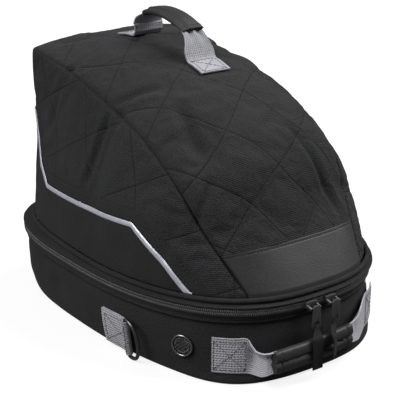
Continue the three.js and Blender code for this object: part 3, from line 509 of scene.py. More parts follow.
def line_z(at):
    i = interval(LINE, "at", at)
    return lerp(LINE[i].z, LINE[i + 1].z, (at - LINE[i].at) / (LINE[i + 1].at - LINE[i].at))


@lru_cache(maxsize=20000)
def band_edges(s):
    """Heights on the wall of foot, line's two edges, border's upper edge and seam."""
    st, d = station(s), 0.02
    near, far = station(max(s - d, 0)), station(min(s + d, LAST_STATION))
    climb = (line_z(far.at) - line_z(near.at)) / (far.foot - near.foot).length
    steep = min(math.hypot(1, climb), STEEPEST_LINE)
    middle = line_z(st.at)
    cuts = (middle + out * steep for out in (-LINE_HALF, LINE_HALF, LINE_HALF + BORDER_WIDE))
    top = st.top.z
    return [FOOT_Z, *(min(max(z, FOOT_Z), top) for z in cuts), top]


def wall_along(s):
    """Distance along the wall for its quilt: y at the sides, carried on round the back."""
    st = station(s)
    return SEAM[0].y + (SEAM[0].half_width - abs(st.top.x)) if st.at > 1 else st.top.y


# Sheets: a surface over s and t, turned into a mesh with a relief along its normal

BAG_MIDDLE = Vector((0, 10, 110))
SETTLE_STEPS = 18
PROBE = 1e-3
WELD = 1e-3


def crowded(x, share):
    """The same 0 to 1, with steps that grow small towards both ends."""
    return x - share * math.sin(2 * math.pi * x) / (2 * math.pi)


class Sheet:
    """A surface in millimetres over s and t from 0 to 1, with a relief that stands out along its normal."""

    def __init__(self, place, relief=None, facing=BAG_MIDDLE):
        self.place = place
        self.relief = relief
        self.facing = facing

    def point(self, s, t, lift=0.0):
        """Place on the finished surface, lifted off it."""
        p = self.place(s, t)
        along = self.place(min(s + PROBE, 1), t) - self.place(max(s - PROBE, 0), t)
        across = self.place(s, min(t + PROBE, 1)) - self.place(s, max(t - PROBE, 0))
        n = along.cross(across).normalized()
        if n.dot(p - self.facing) < 0:
            n.negate()
        return p + n * (lift + (self.relief(s, t, p) if self.relief else 0))

    def mesh(self, columns, rows, flat, closed=False, capped=False, crowd=(0, 0), held=None):
        """Grid bent to the surface, with its rows crowded towards its edges.

        flat is its real size along s and t, or a function for the flat place, which the weave follows.
        held says how firmly each place is sewn down, for cloth that settles afterwards.
        """
        bm = bmesh.new()
        bmesh.ops.create_grid(bm, x_segments=columns, y_segments=rows, size=0.5)
        uv = bm.loops.layers.uv.new("UVMap")
        firm = bm.verts.layers.float.new("held") if held else None
        spots = {v: (crowded(v.co.x + 0.5, crowd[0]), crowded(v.co.y + 0.5, crowd[1])) for v in bm.verts}
        for v, (s, t) in spots.items():
            v.co = self.place(s, t)
        for face in bm.faces:
            face.smooth = True
            for loop in face.loops:
                s, t = spots[loop.vert]
                loop[uv].uv = flat(s, loop.vert.co) if callable(flat) else (s * flat[0], t * flat[1])
        bm.normal_update()
        facing = sum(v.normal.dot(v.co - self.facing) for v in bm.verts)
        if facing < 0:
            bmesh.ops.reverse_faces(bm, faces=bm.faces[:])
            bm.normal_update()
        if held:
            for v, (s, t) in spots.items():
                v[firm] = held(s, t, v.co)
        if self.relief:
            lifts = [(v, v.normal * self.relief(*spots[v], v.co.copy())) for v in bm.verts]
            for v, lift in lifts:
                v.co += lift
        if closed:
            bmesh.ops.remove_doubles(bm, verts=bm.verts[:], dist=WELD)
        ends = [e for e in bm.edges if e.is_boundary]
        if capped:
            bmesh.ops.holes_fill(bm, edges=ends, sides=0)
        for e in ends:
            e.smooth = False
        bmesh.ops.scale(bm, verts=bm.verts[:], vec=(MM, MM, MM))
        return bm


def linked(name, data):
    """New object in the scene."""
    obj = bpy.data.objects.new(name, data)
    bpy.context.scene.collection.objects.link(obj)
    return obj


def smooth(bm):
    for face in bm.faces:
        face.smooth = True


def on_side(bm, side):
    """The same shape, mirrored where it is for the bag's right side."""
    if side == "right":
        bmesh.ops.scale(bm, verts=bm.verts[:], vec=(-1, 1, 1))
        bmesh.ops.reverse_faces(bm, faces=bm.faces[:])
    return bm


def piece(name, bm, look, replaces=None, body="bag", slot=None):
    """Piece from its bmesh: its finish, the node it stands for, which is hidden, and the body it rides on.
    Its slot is not used.
    """
    mesh = bpy.data.meshes.new(name)
    bm.to_mesh(mesh)
    bm.free()
    obj = linked(name, mesh)
    mesh.materials.append(finishes()[look].material)
    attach(obj, body)
    slot or SLOTS[look]
    if replaces:
        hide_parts(replaces)
    return obj


def thicken(obj, thick, offset=-1):
    solid = obj.modifiers.new("Thickness", "SOLIDIFY")
    solid.thickness = thick * MM
    solid.offset = offset


def cloth_piece(name, cloth, sheet, body="bag", side="left", offset=-1, **mesh):
    """Piece of sheet cloth, thickened."""
    bm = on_side(sheet.mesh(*cloth.grid, cloth.weave, **mesh), side)
    obj = piece(name, bm, cloth.look, cloth.node, body)
    thicken(obj, cloth.thick, offset)
    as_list(cloth.rests_on)


def padded_panel(name, bm, look, node):
    """Padded panel that settles between the lines that hold it."""
    panel = piece(name, bm, look, node)
    settle(panel, **SETTLE)
    thicken(panel, PADDED_THICK)


def settle(obj, pressure, spare, reach):
    """Lets padded cloth swell and wrinkle between the lines that hold it, and keeps the shape it comes to.

    spare is the share of extra cloth, and no point moves further than reach, in millimetres.
    """
    firm = obj.data.attributes["held"]
    group = obj.vertex_groups.new(name="sewn")
    for index, point in enumerate(firm.data):
        if point.value > 0:
            group.add([index], point.value, "REPLACE")
    cloth = obj.modifiers.new("Cloth", "CLOTH")
    feel = cloth.settings
    feel.quality = 5
    feel.mass = 0.15
    feel.tension_stiffness = 12
    feel.compression_stiffness = 12
    feel.shear_stiffness = 6
    feel.bending_stiffness = 0.4
    feel.vertex_group_mass = group.name
    feel.use_pressure = True
    feel.uniform_pressure_force = pressure
    feel.shrink_min = -spare
    feel.effector_weights.gravity = 0
    cloth.collision_settings.use_collision = False
    scene = bpy.context.scene
    for step in range(1, SETTLE_STEPS + 1):
        scene.frame_set(step)
    settled = obj.evaluated_get(bpy.context.evaluated_depsgraph_get()).data
    moves = [after.co - before.co for after, before in zip(settled.vertices, obj.data.vertices)]
    obj.modifiers.remove(cloth)
    obj.vertex_groups.remove(group)
    for point, move in zip(obj.data.vertices, moves):
        if move.length > reach * MM:
            move.length = reach * MM
        point.co += move
    scene.frame_set(1)
    obj.data.attributes.remove(firm)


# Sewing


def sew(bm, points):
    """Adds a row of stitches along a path of points in millimetres."""
    size = sizes()
    pitch = size.stitch_pitch / MM
    left = pitch / 2
    for a, b in zip(points, points[1:]):
        run = b - a
        if run.length < 1e-6:
            continue
        turn = run.to_track_quat("Z", "Y").to_matrix().to_4x4()
        while left < run.length:
            spot = a + run * (left / run.length)
            bmesh.ops.create_cone(
                bm, cap_ends=True, segments=5, radius1=size.thread, radius2=size.thread, depth=size.stitch,
                matrix=Matrix.Translation(spot * MM) @ turn,
            )
            left += pitch
        left -= run.length


def thread_piece(name, paths, look, slot):
    bm = bmesh.new()
    for points in paths:
        sew(bm, points)
    smooth(bm)
    piece(name, bm, look, slot=slot)


def on_sheet(sheet, from_st, to_st, count=40, lift=0.1):
    """Path on a sheet between two places of its s and t."""
    shares = [i / count for i in range(count + 1)]
    return [sheet.point(lerp(from_st[0], to_st[0], w), lerp(from_st[1], to_st[1], w), lift) for w in shares]


def box_stitch(sheet, s0, s1, t0, t1):
    """Paths of a sewn box with a cross in it."""
    corners = [(s0, t0), (s1, t0), (s1, t1), (s0, t1)]
    runs = ((0, 1), (1, 2), (2, 3), (3, 0), (0, 2), (1, 3))
    return [on_sheet(sheet, corners[a], corners[b], 12, 0.3) for a, b in runs]


# Finishes


def joined(operation, swapped=False):
    """Method that joins two values by a Math node, swapped where the plain number stands on the left."""

    def method(self, other):
        pair = (other, self) if swapped else (self, other)
        return self.finish.math(operation, *pair)

    return method


class Value:
    """A number that varies over a surface, with sums written as plain expressions."""

    def __init__(self, finish, socket):
        self.finish = finish
        self.socket = socket

    __add__ = __radd__ = joined("ADD")
    __mul__ = __rmul__ = joined("MULTIPLY")
    __sub__ = joined("SUBTRACT")
    __rsub__ = joined("SUBTRACT", True)
    __truediv__ = joined("DIVIDE")
    __rtruediv__ = joined("DIVIDE", True)
    __pow__ = joined("POWER")
    __rpow__ = joined("POWER", True)

    def __abs__(self):
        return self.finish.math("ABSOLUTE", self)

    def sine(self):
        return self.finish.math("SINE", self)


class Finish:
    """A material: a Principled shader, with what varies over the surface fed into it."""

    def __init__(self, name, colour, roughness, metallic=0.0, constants=None):
        self.material = bpy.data.materials.new(name)
        self.material.use_nodes = True
        self.tree = self.material.node_tree
        self.shader = self.tree.nodes["Principled BSDF"]
        self.shader.inputs["Base Color"].default_value = (*colour, 1)
        self.shader.inputs["Roughness"].default_value = roughness
        self.shader.inputs["Metallic"].default_value = metallic
        for socket, value in (constants or {}).items():
            self.shader.inputs[socket].default_value = value

    def node(self, kind, settings, sockets):
        """Any node: its type, its settings, which are set first, and values or links by socket."""
        made = self.tree.nodes.new(kind)
        for key, value in settings.items():
            setattr(made, key, value)
        for key, value in sockets.items():
            if isinstance(value, Value):
                self.tree.links.new(value.socket, made.inputs[key])
            elif isinstance(value, bpy.types.NodeSocket):
                self.tree.links.new(value, made.inputs[key])
            else:
                made.inputs[key].default_value = value
        return made

    def math(self, operation, first, second=0.0):
        made = self.node("ShaderNodeMath", {"operation": operation}, {0: first, 1: second})
        return Value(self, made.outputs[0])

    def flat_places(self):
        """Distances along and across the cloth, and the flat place itself."""
        place = self.node("ShaderNodeUVMap", {"uv_map": "UVMap"}, {}).outputs[0]
        parts = self.node("ShaderNodeSeparateXYZ", {}, {0: place}).outputs
        return Value(self, parts[0]), Value(self, parts[1]), place

    def object_place(self):
        return self.node("ShaderNodeTexCoord", {}, {}).outputs["Object"]

    def cloud(self, place, scale, detail=2.0):
        made = self.node("ShaderNodeTexNoise", {}, {"Vector": place, "Scale": scale, "Detail": detail})
        return Value(self, made.outputs[0])

    def cells(self, place, scale):
        made = self.node(
            "ShaderNodeTexVoronoi", {"feature": "SMOOTH_F1"}, {"Vector": place, "Scale": scale}
        )
        return Value(self, made.outputs[0])

    def tint(self, share, dark, light):
        """Feeds a colour between dark and light into the shader."""
        made = self.node(
            "ShaderNodeMix", {"data_type": "RGBA"}, {0: share, 6: (*dark, 1), 7: (*light, 1)}
        )
        self.tree.links.new(made.outputs[2], self.shader.inputs["Base Color"])

    def feed(self, socket, value):
        self.tree.links.new(value.socket, self.shader.inputs[socket])

    def raise_by(self, height, distance):
        """Feeds a height into the shader as bump, at its real depth."""
        made = self.node("ShaderNodeBump", {}, {"Strength": 1, "Distance": distance, "Height": height})
        self.tree.links.new(made.outputs[0], self.shader.inputs["Normal"])


def shaded(colour, share):
    return tuple(c * share for c in colour)


# A family of quilt lines, counted over the flat cloth: lines per metre along and across, start and spacing
QuiltLines = namedtuple("QuiltLines", "along across start apart")
WANDER = 0.035
WANDER_TURN = 2 * math.pi / 0.12
RIB_PITCH = 0.0018
RIB_SHADE = 0.14
RIB_HIGH = 0.5
LINE_REACH = 0.0006
# Share of painted shade along a sunk quilt line
LINE_SHADE = 0.6
LINE_DEEP = 1.8


def woven(name, colour, pitch, roughness=0.82, families=(), ribs_along=None):
    """Plain weave, each thread a small hump, with slubs, a slow random drift of tone and sunk lines of
    quilting, darkened with painted shade.

    ribs_along says whether faint ribs are counted along the cloth or across it, and None leaves them out.
    """
    made = Finish(name, colour, roughness, constants={"Specular IOR Level": 0.12, "Sheen Weight": 0.03})
    along, across, place = made.flat_places()
    turn = math.pi / pitch
    threads = (along * turn).sine() * (across * turn).sine()
    slubs = made.cloud(place, 0.55 / pitch, 3)
    drift = made.cloud(made.object_place(), 14, 3)
    shade = 0.14 * threads + 1.5 * slubs + 0.4 * drift - 0.47
    height = threads * 0.5 + slubs
    if ribs_along is not None:
        ribs = ((along if ribs_along else across) * (2 * math.pi / RIB_PITCH)).sine()
        shade = shade + RIB_SHADE * ribs
        height = height + RIB_HIGH * ribs
    for family in families:
        wander = WANDER * (across * WANDER_TURN + along * (0.6 * WANDER_TURN)).sine()
        count = along * family.along + across * family.across + family.start + wander
        off = abs(made.math("FRACT", count) - 0.5) * family.apart
        line = made.math("EXPONENT", (off / LINE_REACH) ** 2 * -1)
        # Painted shade: the cloth is darkened along each sunk quilt line
        shade = shade * (1 - LINE_SHADE * line)
        height = height - LINE_DEEP * line
    made.tint(shade, shaded(colour, 0.35), shaded(colour, 1.75))
    made.feed("Roughness", roughness - 0.12 * threads + 0.1 * slubs)
    made.raise_by(height, 0.00035)
    return made


def coated(name, colour):
    """Fine-grained coated cloth with a low sheen and rubbed high spots."""
    made = Finish(name, colour, 0.5, constants={"Specular IOR Level": 0.4})
    place = made.object_place()
    grain = made.cells(place, 900)
    broad = made.cloud(place, 60, 3)
    made.tint(0.45 * grain + 0.6 * broad, shaded(colour, 0.75), shaded(colour, 1.3))
    made.feed("Roughness", 0.42 + 0.14 * broad + 0.1 * grain)
    made.raise_by(grain + 0.6 * broad, 0.00018)
    return made


def ribbed_webbing(name, colour, rib):
    """Webbing with ribs along its run, crossed by fine yarns of mixed greys."""
    made = Finish(name, colour, 0.8, constants={"Specular IOR Level": 0.2})
    along, across, place = made.flat_places()
    ribs = abs((across * (math.pi / rib)).sine())
    yarns = (along * (math.pi / 0.0011) + abs((across * (math.pi / (2 * rib))).sine()) * 3).sine()
    heather = made.cloud(place, 1400, 3)
    streaks = made.cloud(place, 260, 2)
    made.tint(
        0.34 * ribs + 0.05 * yarns + 0.45 * heather + 0.35 * streaks - 0.1,
        shaded(colour, 0.42),
        shaded(colour, 1.6),
    )
    made.feed("Roughness", 0.72 + 0.16 * heather)
    made.raise_by(ribs + 0.4 * yarns + 0.4 * heather, 0.0004)
    return made


def reflective(name, colour):
    """Silver reflective tape: minute beads and a faint crazing."""
    made = Finish(name, colour, 0.34, 0.35, {"Coat Weight": 0.15})
    place = made.flat_places()[2]
    beads = made.cells(place, 1500)
    wear = made.cloud(place, 90, 4)
    made.tint(0.35 * beads + 0.75 * wear, shaded(colour, 0.72), shaded(colour, 1.25))
    made.feed("Roughness", 0.28 + 0.16 * wear)
    made.raise_by(beads + wear, 0.00012)
    return made


def cast_metal(name, colour, roughness, metallic):
    """Plated or lacquered metal with a faint orange peel and worn spots."""
    made = Finish(name, colour, roughness, metallic)
    place = made.object_place()
    peel = made.cloud(place, 900, 2)
    wear = made.cloud(place, 160, 4)
    made.tint(wear, shaded(colour, 0.7), shaded(colour, 1.35))
    made.feed("Roughness", roughness - 0.08 + 0.18 * wear)
    made.raise_by(peel, 0.00006)
    return made


def thread(name, colour):
    made = Finish(name, colour, 0.55)
    twist = made.cloud(made.object_place(), 2200, 2)
    made.tint(twist, shaded(colour, 0.6), shaded(colour, 1.5))
    made.feed("Roughness", 0.45 + 0.2 * twist)
    return made


@lru_cache(maxsize=None)
def finishes():
    """Every finish of the bag, by name."""
    c, s = colours(), sizes()
    return {
        "cloth": woven("black_cloth", c.cloth, s.weave),
        "top_quilt": woven("quilted_top", c.quilted, s.weave, families=TOP_QUILT, ribs_along=True),
        "side_quilt": woven("quilted_side", c.quilted, s.weave, families=SIDE_QUILT, ribs_along=False),
        "coated": coated("coated_cloth", c.coated),
        "webbing": ribbed_webbing("grey_webbing", c.webbing, s.rib),
        "silver": reflective("silver_line", c.silver),
        "nylon": woven("nylon_tape", c.nylon, 0.0007, 0.6),
        # The zip tape is the black nylon painted 1.9 times lighter: painted light where the flap shades it
        "tape": woven("zip_tape", shaded(c.nylon, 1.9), 0.0009, 0.6),
        # The coil is the black nylon painted 5.5 times lighter: painted highlights on the teeth, and
        # painted light in the flap's shadow
        "coil": cast_metal("nylon_coil", shaded(c.nylon, 5.5), 0.33, 0.0),
        "nickel": cast_metal("dark_nickel", c.nickel, 0.22, 0.95),
        "ring": cast_metal("ring_nickel", shaded(c.nickel, 0.45), 0.26, 0.9),
        "metal": cast_metal("black_metal", c.metal, 0.48, 0.5),
        "mesh": cast_metal("vent_mesh", shaded(c.nickel, 0.12), 0.4, 0.6),
        "black_thread": thread("black_thread", shaded(c.cloth, 0.8)),
        # Thread for the patch's hem: the thread's own black, darkened further as painted shade in the sunk
        # stitch line
        "deep_thread": thread("deep_thread", shaded(c.cloth, 0.12)),
        "grey_thread": thread("grey_thread", shaded(c.webbing, 0.3)),
    }


# Top panel and coated patch of the lid

TOP_LONG = 425
TOP_WIDE = 125
PUFF_REACH = 9
GROOVE_REACH = 1.8


def top_lines(step, slant, start, apart):
    """Quilt lines of the top by their step in u, how slowly they slant in v and the u they start from."""
    along = 1 / (TOP_LONG * MM * step)
    across = 1 / (TOP_WIDE * MM * slant * step)
    return QuiltLines(along, across, (start - 1 / slant) / step + 0.5, apart)


TOP_FLAT = (TOP_LONG * PATCH_TOP_U * MM, 2 * TOP_WIDE * MM)
TOP_QUILT = [
    top_lines(0.23, -3.1, -0.015, 0.065),
    top_lines(0.187, 5.5, -0.14, 0.066),
]
SIDE_QUILT = [
    QuiltLines(0.53 / 0.074, 1 / 0.074, -222 / 74 + 0.5, 0.0654),
    QuiltLines(1 / 0.078, -0.5 / 0.078, 73 / 78 + 0.5, 0.0698),
]


def line_distance(family, along, across):
    """Distance in millimetres from the nearest line of a quilt family, at a flat place in metres."""
    wander = WANDER * math.sin(across * WANDER_TURN + along * (0.6 * WANDER_TURN))
    count = along * family.along + across * family.across + family.start + wander
    return abs(count % 1 - 0.5) * family.apart / MM


def quilt(families, along, across):
    """Relief of the padding between two families of quilt lines, and the distance from the nearest line."""
    size = sizes()
    d1, d2 = (line_distance(family, along, across) for family in families)
    puff = (1 - math.exp(-d1 / PUFF_REACH)) * (1 - math.exp(-d2 / PUFF_REACH))
    return (size.puff * puff - size.groove * bump(min(d1, d2), GROOVE_REACH)) / MM, min(d1, d2)


SETTLE = {"pressure": 0.35, "spare": 0.012, "reach": 4}
TOP_GRID = (200, 150)
CROWN_SEWN = ((91, 122), (-38, -12))
SEAM_HOLD = 1.5
SLIT_DEPTHS = (2.2, 4.4)
SLIT_REACH = 1.4
TUCK_REACH = 7


def sewn_hold(d):
    """How firmly cloth is held at a distance in millimetres from a sewn line."""
    return min(max(1.8 - d / 1.6, 0), 1)


def pucker(p, d):
    """Small gathers of the cloth that die away from a line of stitches."""
    return 0.45 * noise.noise(p / 5.5) * math.exp(-d / 6)


def seam_draw(u, edge):
    """How far a seam draws the cloth in: a narrow slit, shallow at both ends and deeper at its tucks."""
    slit = lerp(*SLIT_DEPTHS, smoothstep(u, 0.01, 0.04) * smoothstep(1 - u, 0.01, 0.07))
    tuck = sum(k.depth * bump(u - k.u, k.reach) for k in SEAM_TUCKS)
    return slit * math.exp(-edge / SLIT_REACH) + tuck * math.exp(-edge / TUCK_REACH)


def under_webbing(p):
    """Nearly 1 under the webbing sewn to the crown, and 0 away from it."""
    aside = smoothstep(abs(p.x) - WEBBING_WIDE / 2, 8, 1)
    along = sum(
        smoothstep(p.y, low - 8, low - 1) * smoothstep(p.y, high + 8, high + 1) for low, high in CROWN_SEWN
    )
    return aside * along


def top_relief(s, t, p):
    u, v = s * PATCH_TOP_U, 2 * t - 1
    edge = min((1 - abs(v)) * TOP_WIDE, u * TOP_LONG)
    height, d = quilt(TOP_QUILT, s * TOP_FLAT[0], t * TOP_FLAT[1])
    crease = crease_depth(TOP_CREASES, u * TOP_LONG, v * TOP_WIDE)
    loose = sizes().rumple / MM * rumple(p, 42)
    free = (height + crease + loose) * (1 - math.exp(-edge / 4)) + pucker(p, min(d, edge))
    return free * (1 - under_webbing(p)) - seam_draw(u, edge)


def top_sheet():
    return Sheet(lambda s, t: top_point(s * PATCH_TOP_U, 2 * t - 1), top_relief)


PATCH_TUCK = 3.2
HEM_STITCH = 3.0
HEM_ENDS = (0.012, 0.988)


def patch_relief(s, t, p):
    """The patch's top edge is a narrow hem with a sunk line of stitches, and its sides are drawn in."""
    hem = s * (1 - PATCH_TOP_U) * TOP_LONG
    side = min(t, 1 - t) * 2 * TOP_WIDE
    lip = 0.15 * smoothstep(hem, -0.6, 0.8) - 0.3 * bump(hem - HEM_STITCH, 0.8)
    return 0.7 + lip + 0.4 * rumple(p, 55) - seam_draw(lerp(PATCH_TOP_U, 1, s), side)


def patch_sheet():
    """The patch, with its foot tucked down behind the lid's roll."""

    def place(s, t):
        tuck = Vector((0, 0, PATCH_TUCK * smoothstep(s, 0.93, 1)))
        return top_point(lerp(PATCH_TOP_U, 1, s), 2 * t - 1) - tuck

    return Sheet(place, patch_relief)


class BAG_OT_lid_top(bpy.types.Operator):
    """Makes the quilted top panel and the coated patch in front of it."""

    bl_idname = "bag.lid_top"
    bl_label = "Lid top"

    def execute(self, context):
        def held(s, t, p):
            edge = min(min(t, 1 - t) * 2 * TOP_WIDE, s * TOP_LONG, (1 - s) * TOP_LONG)
            d = quilt(TOP_QUILT, s * TOP_FLAT[0], t * TOP_FLAT[1])[1]
            return max(sewn_hold(min(edge - SEAM_HOLD, d)), under_webbing(p))

        bm = top_sheet().mesh(*TOP_GRID, TOP_FLAT, crowd=(0.4, 0.6), held=held)
        padded_panel("top_panel_cloth", bm, "top_quilt", "top_panel")
        patch = patch_sheet()
        cloth_piece("front_patch_cloth", CLOTHS["front_patch_cloth"], patch, crowd=(0.6, 0.6))
        hem = HEM_STITCH / ((1 - PATCH_TOP_U) * TOP_LONG)
        row = on_sheet(patch, *((hem, t) for t in HEM_ENDS), 80)
        # Hem stitches in near-black thread: partly the thread's colour, partly painted shade in the sunk
        # line
        thread_piece("patch_stitches", [row], "deep_thread", "coated_cloth")
        return {"FINISHED"}


# Wall of the lid: skirt, reflective line, border and quilted side panel


def band_sheet(index, relief, start=0.0):
    """Sheet of one band of the wall, between two of its edges."""

    def place(s, t):
        k = lerp(start, LAST_STATION - start, s)
        edges = band_edges(k)
        z = lerp(edges[index], edges[index + 1], t)
        return wall_point(k, (z - FOOT_Z) / max(edges[-1] - FOOT_Z, 0.5))

    return Sheet(place, relief)


def side_flat(s, p):
    """Flat place on the side panel, in metres."""
    return wall_along(s * LAST_STATION) * MM, p.z * MM


def side_relief(s, t, p):
    k = s * LAST_STATION
    edges = band_edges(k)
    high = edges[4] - edges[3]
    edge = min(t, 1 - t) * high
    height, d = quilt(SIDE_QUILT, *side_flat(s, p))
    crease = crease_depth(SIDE_CREASES, wall_along(k), p.z) if p.x < 0 else 0
    loose = 1.2 * sizes().rumple / MM * rumple(p, 46)
    u = 1 - station(k).at
    drawn = seam_draw(u, (1 - t) * high) + 0.9 * math.exp(-t * high / 2)
    return (height + crease + loose) * (1 - math.exp(-edge / 5)) + pucker(p, min(d, edge)) - drawn


def plain_relief(index, start, waves):
    """Relief of a plain band: loose waves, drawn in along both of its sewn edges."""

    def relief(s, t, p):
        edges = band_edges(lerp(start, LAST_STATION - start, s))
        edge = min(t, 1 - t) * (edges[index + 1] - edges[index])
        loose = waves * rumple(p, 38) * (1 - math.exp(-edge / 5))
        return loose + 0.6 * pucker(p, edge) - 0.9 * math.exp(-edge / 2)

    return relief


def line_relief(s, t, p):
    return 0.4 + 0.8 * math.sqrt(max(1 - (2 * t - 1) ** 2, 0))


def band_start(edge, low):
    """Station at which an edge of the bands rises off the lid's foot."""
    return solve(lambda s: band_edges(s)[edge], FOOT_Z + 0.4, low, 0.4)


WALL_LONG = 900
SIDE_GRID = (460, 72)
BORDER_ROWS = (0.16, 0.84)
LONG_ROW = 400


class BAG_OT_lid_wall(bpy.types.Operator):
    """Makes the quilted side panel, the border strip, the reflective line and the skirt."""

    bl_idname = "bag.lid_wall"
    bl_label = "Lid wall"

    def execute(self, context):
        skirt_start, line_start, border_start = band_start(1, 0.1), band_start(2, 0.1), band_start(3, 0.02)
        border = band_sheet(2, plain_relief(2, border_start, 0.5), border_start)
        bands = {
            "border_strip_cloth": border,
            "reflective_piping": band_sheet(1, line_relief, line_start),
            "skirt_cloth": band_sheet(0, plain_relief(0, skirt_start, 1.2), skirt_start),
        }

        def held(s, t, p):
            edges = band_edges(s * LAST_STATION)
            edge = min(t, 1 - t) * (edges[4] - edges[3])
            ends = min(s, 1 - s) * WALL_LONG
            return sewn_hold(min(edge - SEAM_HOLD, ends, quilt(SIDE_QUILT, *side_flat(s, p))[1]))

        bm = band_sheet(3, side_relief).mesh(*SIDE_GRID, side_flat, crowd=(0, 0.6), held=held)
        padded_panel("side_panel_cloth", bm, "side_quilt", "side_panel")
        for name, sheet in bands.items():
            cloth_piece(name, CLOTHS[name], sheet)
        paths = [on_sheet(border, (0.02, t), (0.98, t), LONG_ROW) for t in BORDER_ROWS]
        thread_piece("border_stitches", paths, "black_thread", "black_cloth")
        return {"FINISHED"}


# Base: soft wall, floor and the roll on its rim


def ring_sheet(angles, section, relief=None):
    """Sheet that runs round the plan, with a section of out and z by angle and t."""

    def place(s, t):
        angle = part_way(angles, s)
        out, z = section(angle, t)
        return plan_point(angle, out, z)

    return Sheet(place, relief)


def tube_section(out, z, radius):
    """Section of a roll, all the way round it."""

    def section(angle, t):
        turn = 2 * math.pi * t
        middle = out(angle) if callable(out) else out
        return middle + radius * math.cos(turn), z + radius * math.sin(turn)

    return section


FLOOR_LIFT = 0.4
FLOOR_CURL = 1.2


def base_section(angle, t):
    z = BASE_RIM_Z * t
    curl = 0.35 * max(2 - z, 0) ** 2
    full = 3.0 * max(-plan_normal(angle).y, 0) * bump(z, 16)
    return base_out(angle, z) + full - curl, z


def base_relief(s, t, p):
    edge = min(t, 1 - t) * BASE_RIM_Z
    drag = noise.noise(Vector((p.x / 60 + p.z / 30, p.y / 60, p.z / 22)))
    return (0.9 * rumple(p, 44) + 1.1 * drag) * (1 - math.exp(-edge / 7))


class BAG_OT_base(bpy.types.Operator):
    """Makes the soft base wall, its floor and the thin roll on its rim."""

    bl_idname = "bag.base"
    bl_label = "Base"

    def execute(self, context):
        wall = ring_sheet(ROUND, base_section, base_relief)
        cloth_piece("base_wall_cloth", CLOTHS["base_wall_cloth"], wall, closed=True)

        def floor_place(s, t):
            """Square bent to the plan: rings of the square become rings of the egg."""
            x, y = 2 * s - 1, 2 * t - 1
            ring = max(abs(x), abs(y))
            rim = base_point(math.atan2(y, x), 0, -CLOTH_THICK)
            middle = Vector((0, WIDEST_Y, 0))
            return middle.lerp(rim, ring) + Vector((0, 0, FLOOR_LIFT + FLOOR_CURL * ring**8))

        floor = Sheet(floor_place, facing=Vector((0, 0, 300)))
        cloth_piece("base_floor_cloth", CLOTHS["base_floor_cloth"], floor)
        roll_z = BASE_RIM_Z + 0.3 + BASE_ROLL_RADIUS
        roll = ring_sheet(ROUND, tube_section(-BASE_ROLL_IN + 0.4, roll_z, BASE_ROLL_RADIUS + 0.2))
        piece("base_roll_cloth", roll.mesh(480, 12, (1.2, 0.01), closed=True), "cloth", "base_roll")
        return {"FINISHED"}


# Zip: tape, coil teeth, flap, the cloth hinge behind and the roll at the lid's foot

ROLL_Z = FOOT_Z - 0.3 - LID_ROLL_RADIUS
FLAP_TOP = ROLL_Z - LID_ROLL_RADIUS - 0.1
TOOTH_TOP = ZIP_Z + TOOTH_HIGH / 2
TAPE_LOW = BASE_RIM_Z + 0.6 + 2 * BASE_ROLL_RADIUS
TOOTH_DEEP = 3.7
TOOTH_ROWS_APART = 3.3
TOOTH_SLANT = 0.18
FLARE = 4.5
FLARE_ANGLE = math.radians(-42)
FLARE_REACH = math.radians(24)


def flare(angle):
    """How far the soft flap and roll stand out at the front right, where the bag is pressed out."""
    return FLARE * bump(math.remainder(angle - FLARE_ANGLE, 2 * math.pi), FLARE_REACH)


def flap_section(angle, t):
    """Rounded out and down from the lid's roll, then tucked in above the teeth."""
    inner = -lid_in(angle) + LID_ROLL_OUT + flare(angle)
    round_out = math.sin(math.pi / 2 * min(t / 0.7, 1))
    tuck = 2.2 * (max(t - 0.7, 0) / 0.3) ** 2
    return lerp(inner, 0.9 + flare(angle), round_out) - tuck, lerp(FLAP_TOP, TOOTH_TOP + 0.1, t**1.2)


def teeth_mesh():
    """Two rows of coil turns that mesh along the zip line."""
    size = sizes()
    count = int(ZIP_LENGTH * MM / size.tooth_pitch)
    bm = bmesh.new()
    for row, sign in ((0, 1), (0.5, -1)):
        radii = [size.tooth_pitch * share for share in (0.46, 0.34)[::sign]]
        for k in range(count):
            angle = part_way(ZIP_ROUND, (k + row + 0.25) / count)
            spot = plan_point(angle, -0.5, ZIP_Z + sign * TOOTH_ROWS_APART / 2)
            n = plan_normal(angle)
            across = Vector((-n.y, n.x, 0))
            up = (Vector((0, 0, 1)) + across * TOOTH_SLANT * sign).normalized()
            turn = Matrix((across, n, up)).transposed().to_4x4()
            bmesh.ops.create_cone(
                bm, cap_ends=True, segments=8, radius1=radii[0], radius2=radii[1], depth=TOOTH_DEEP * MM,
                matrix=Matrix.Translation(spot * MM) @ turn,
            )
    for face in bm.faces:
        face.smooth = len(face.verts) == 4
    return bm


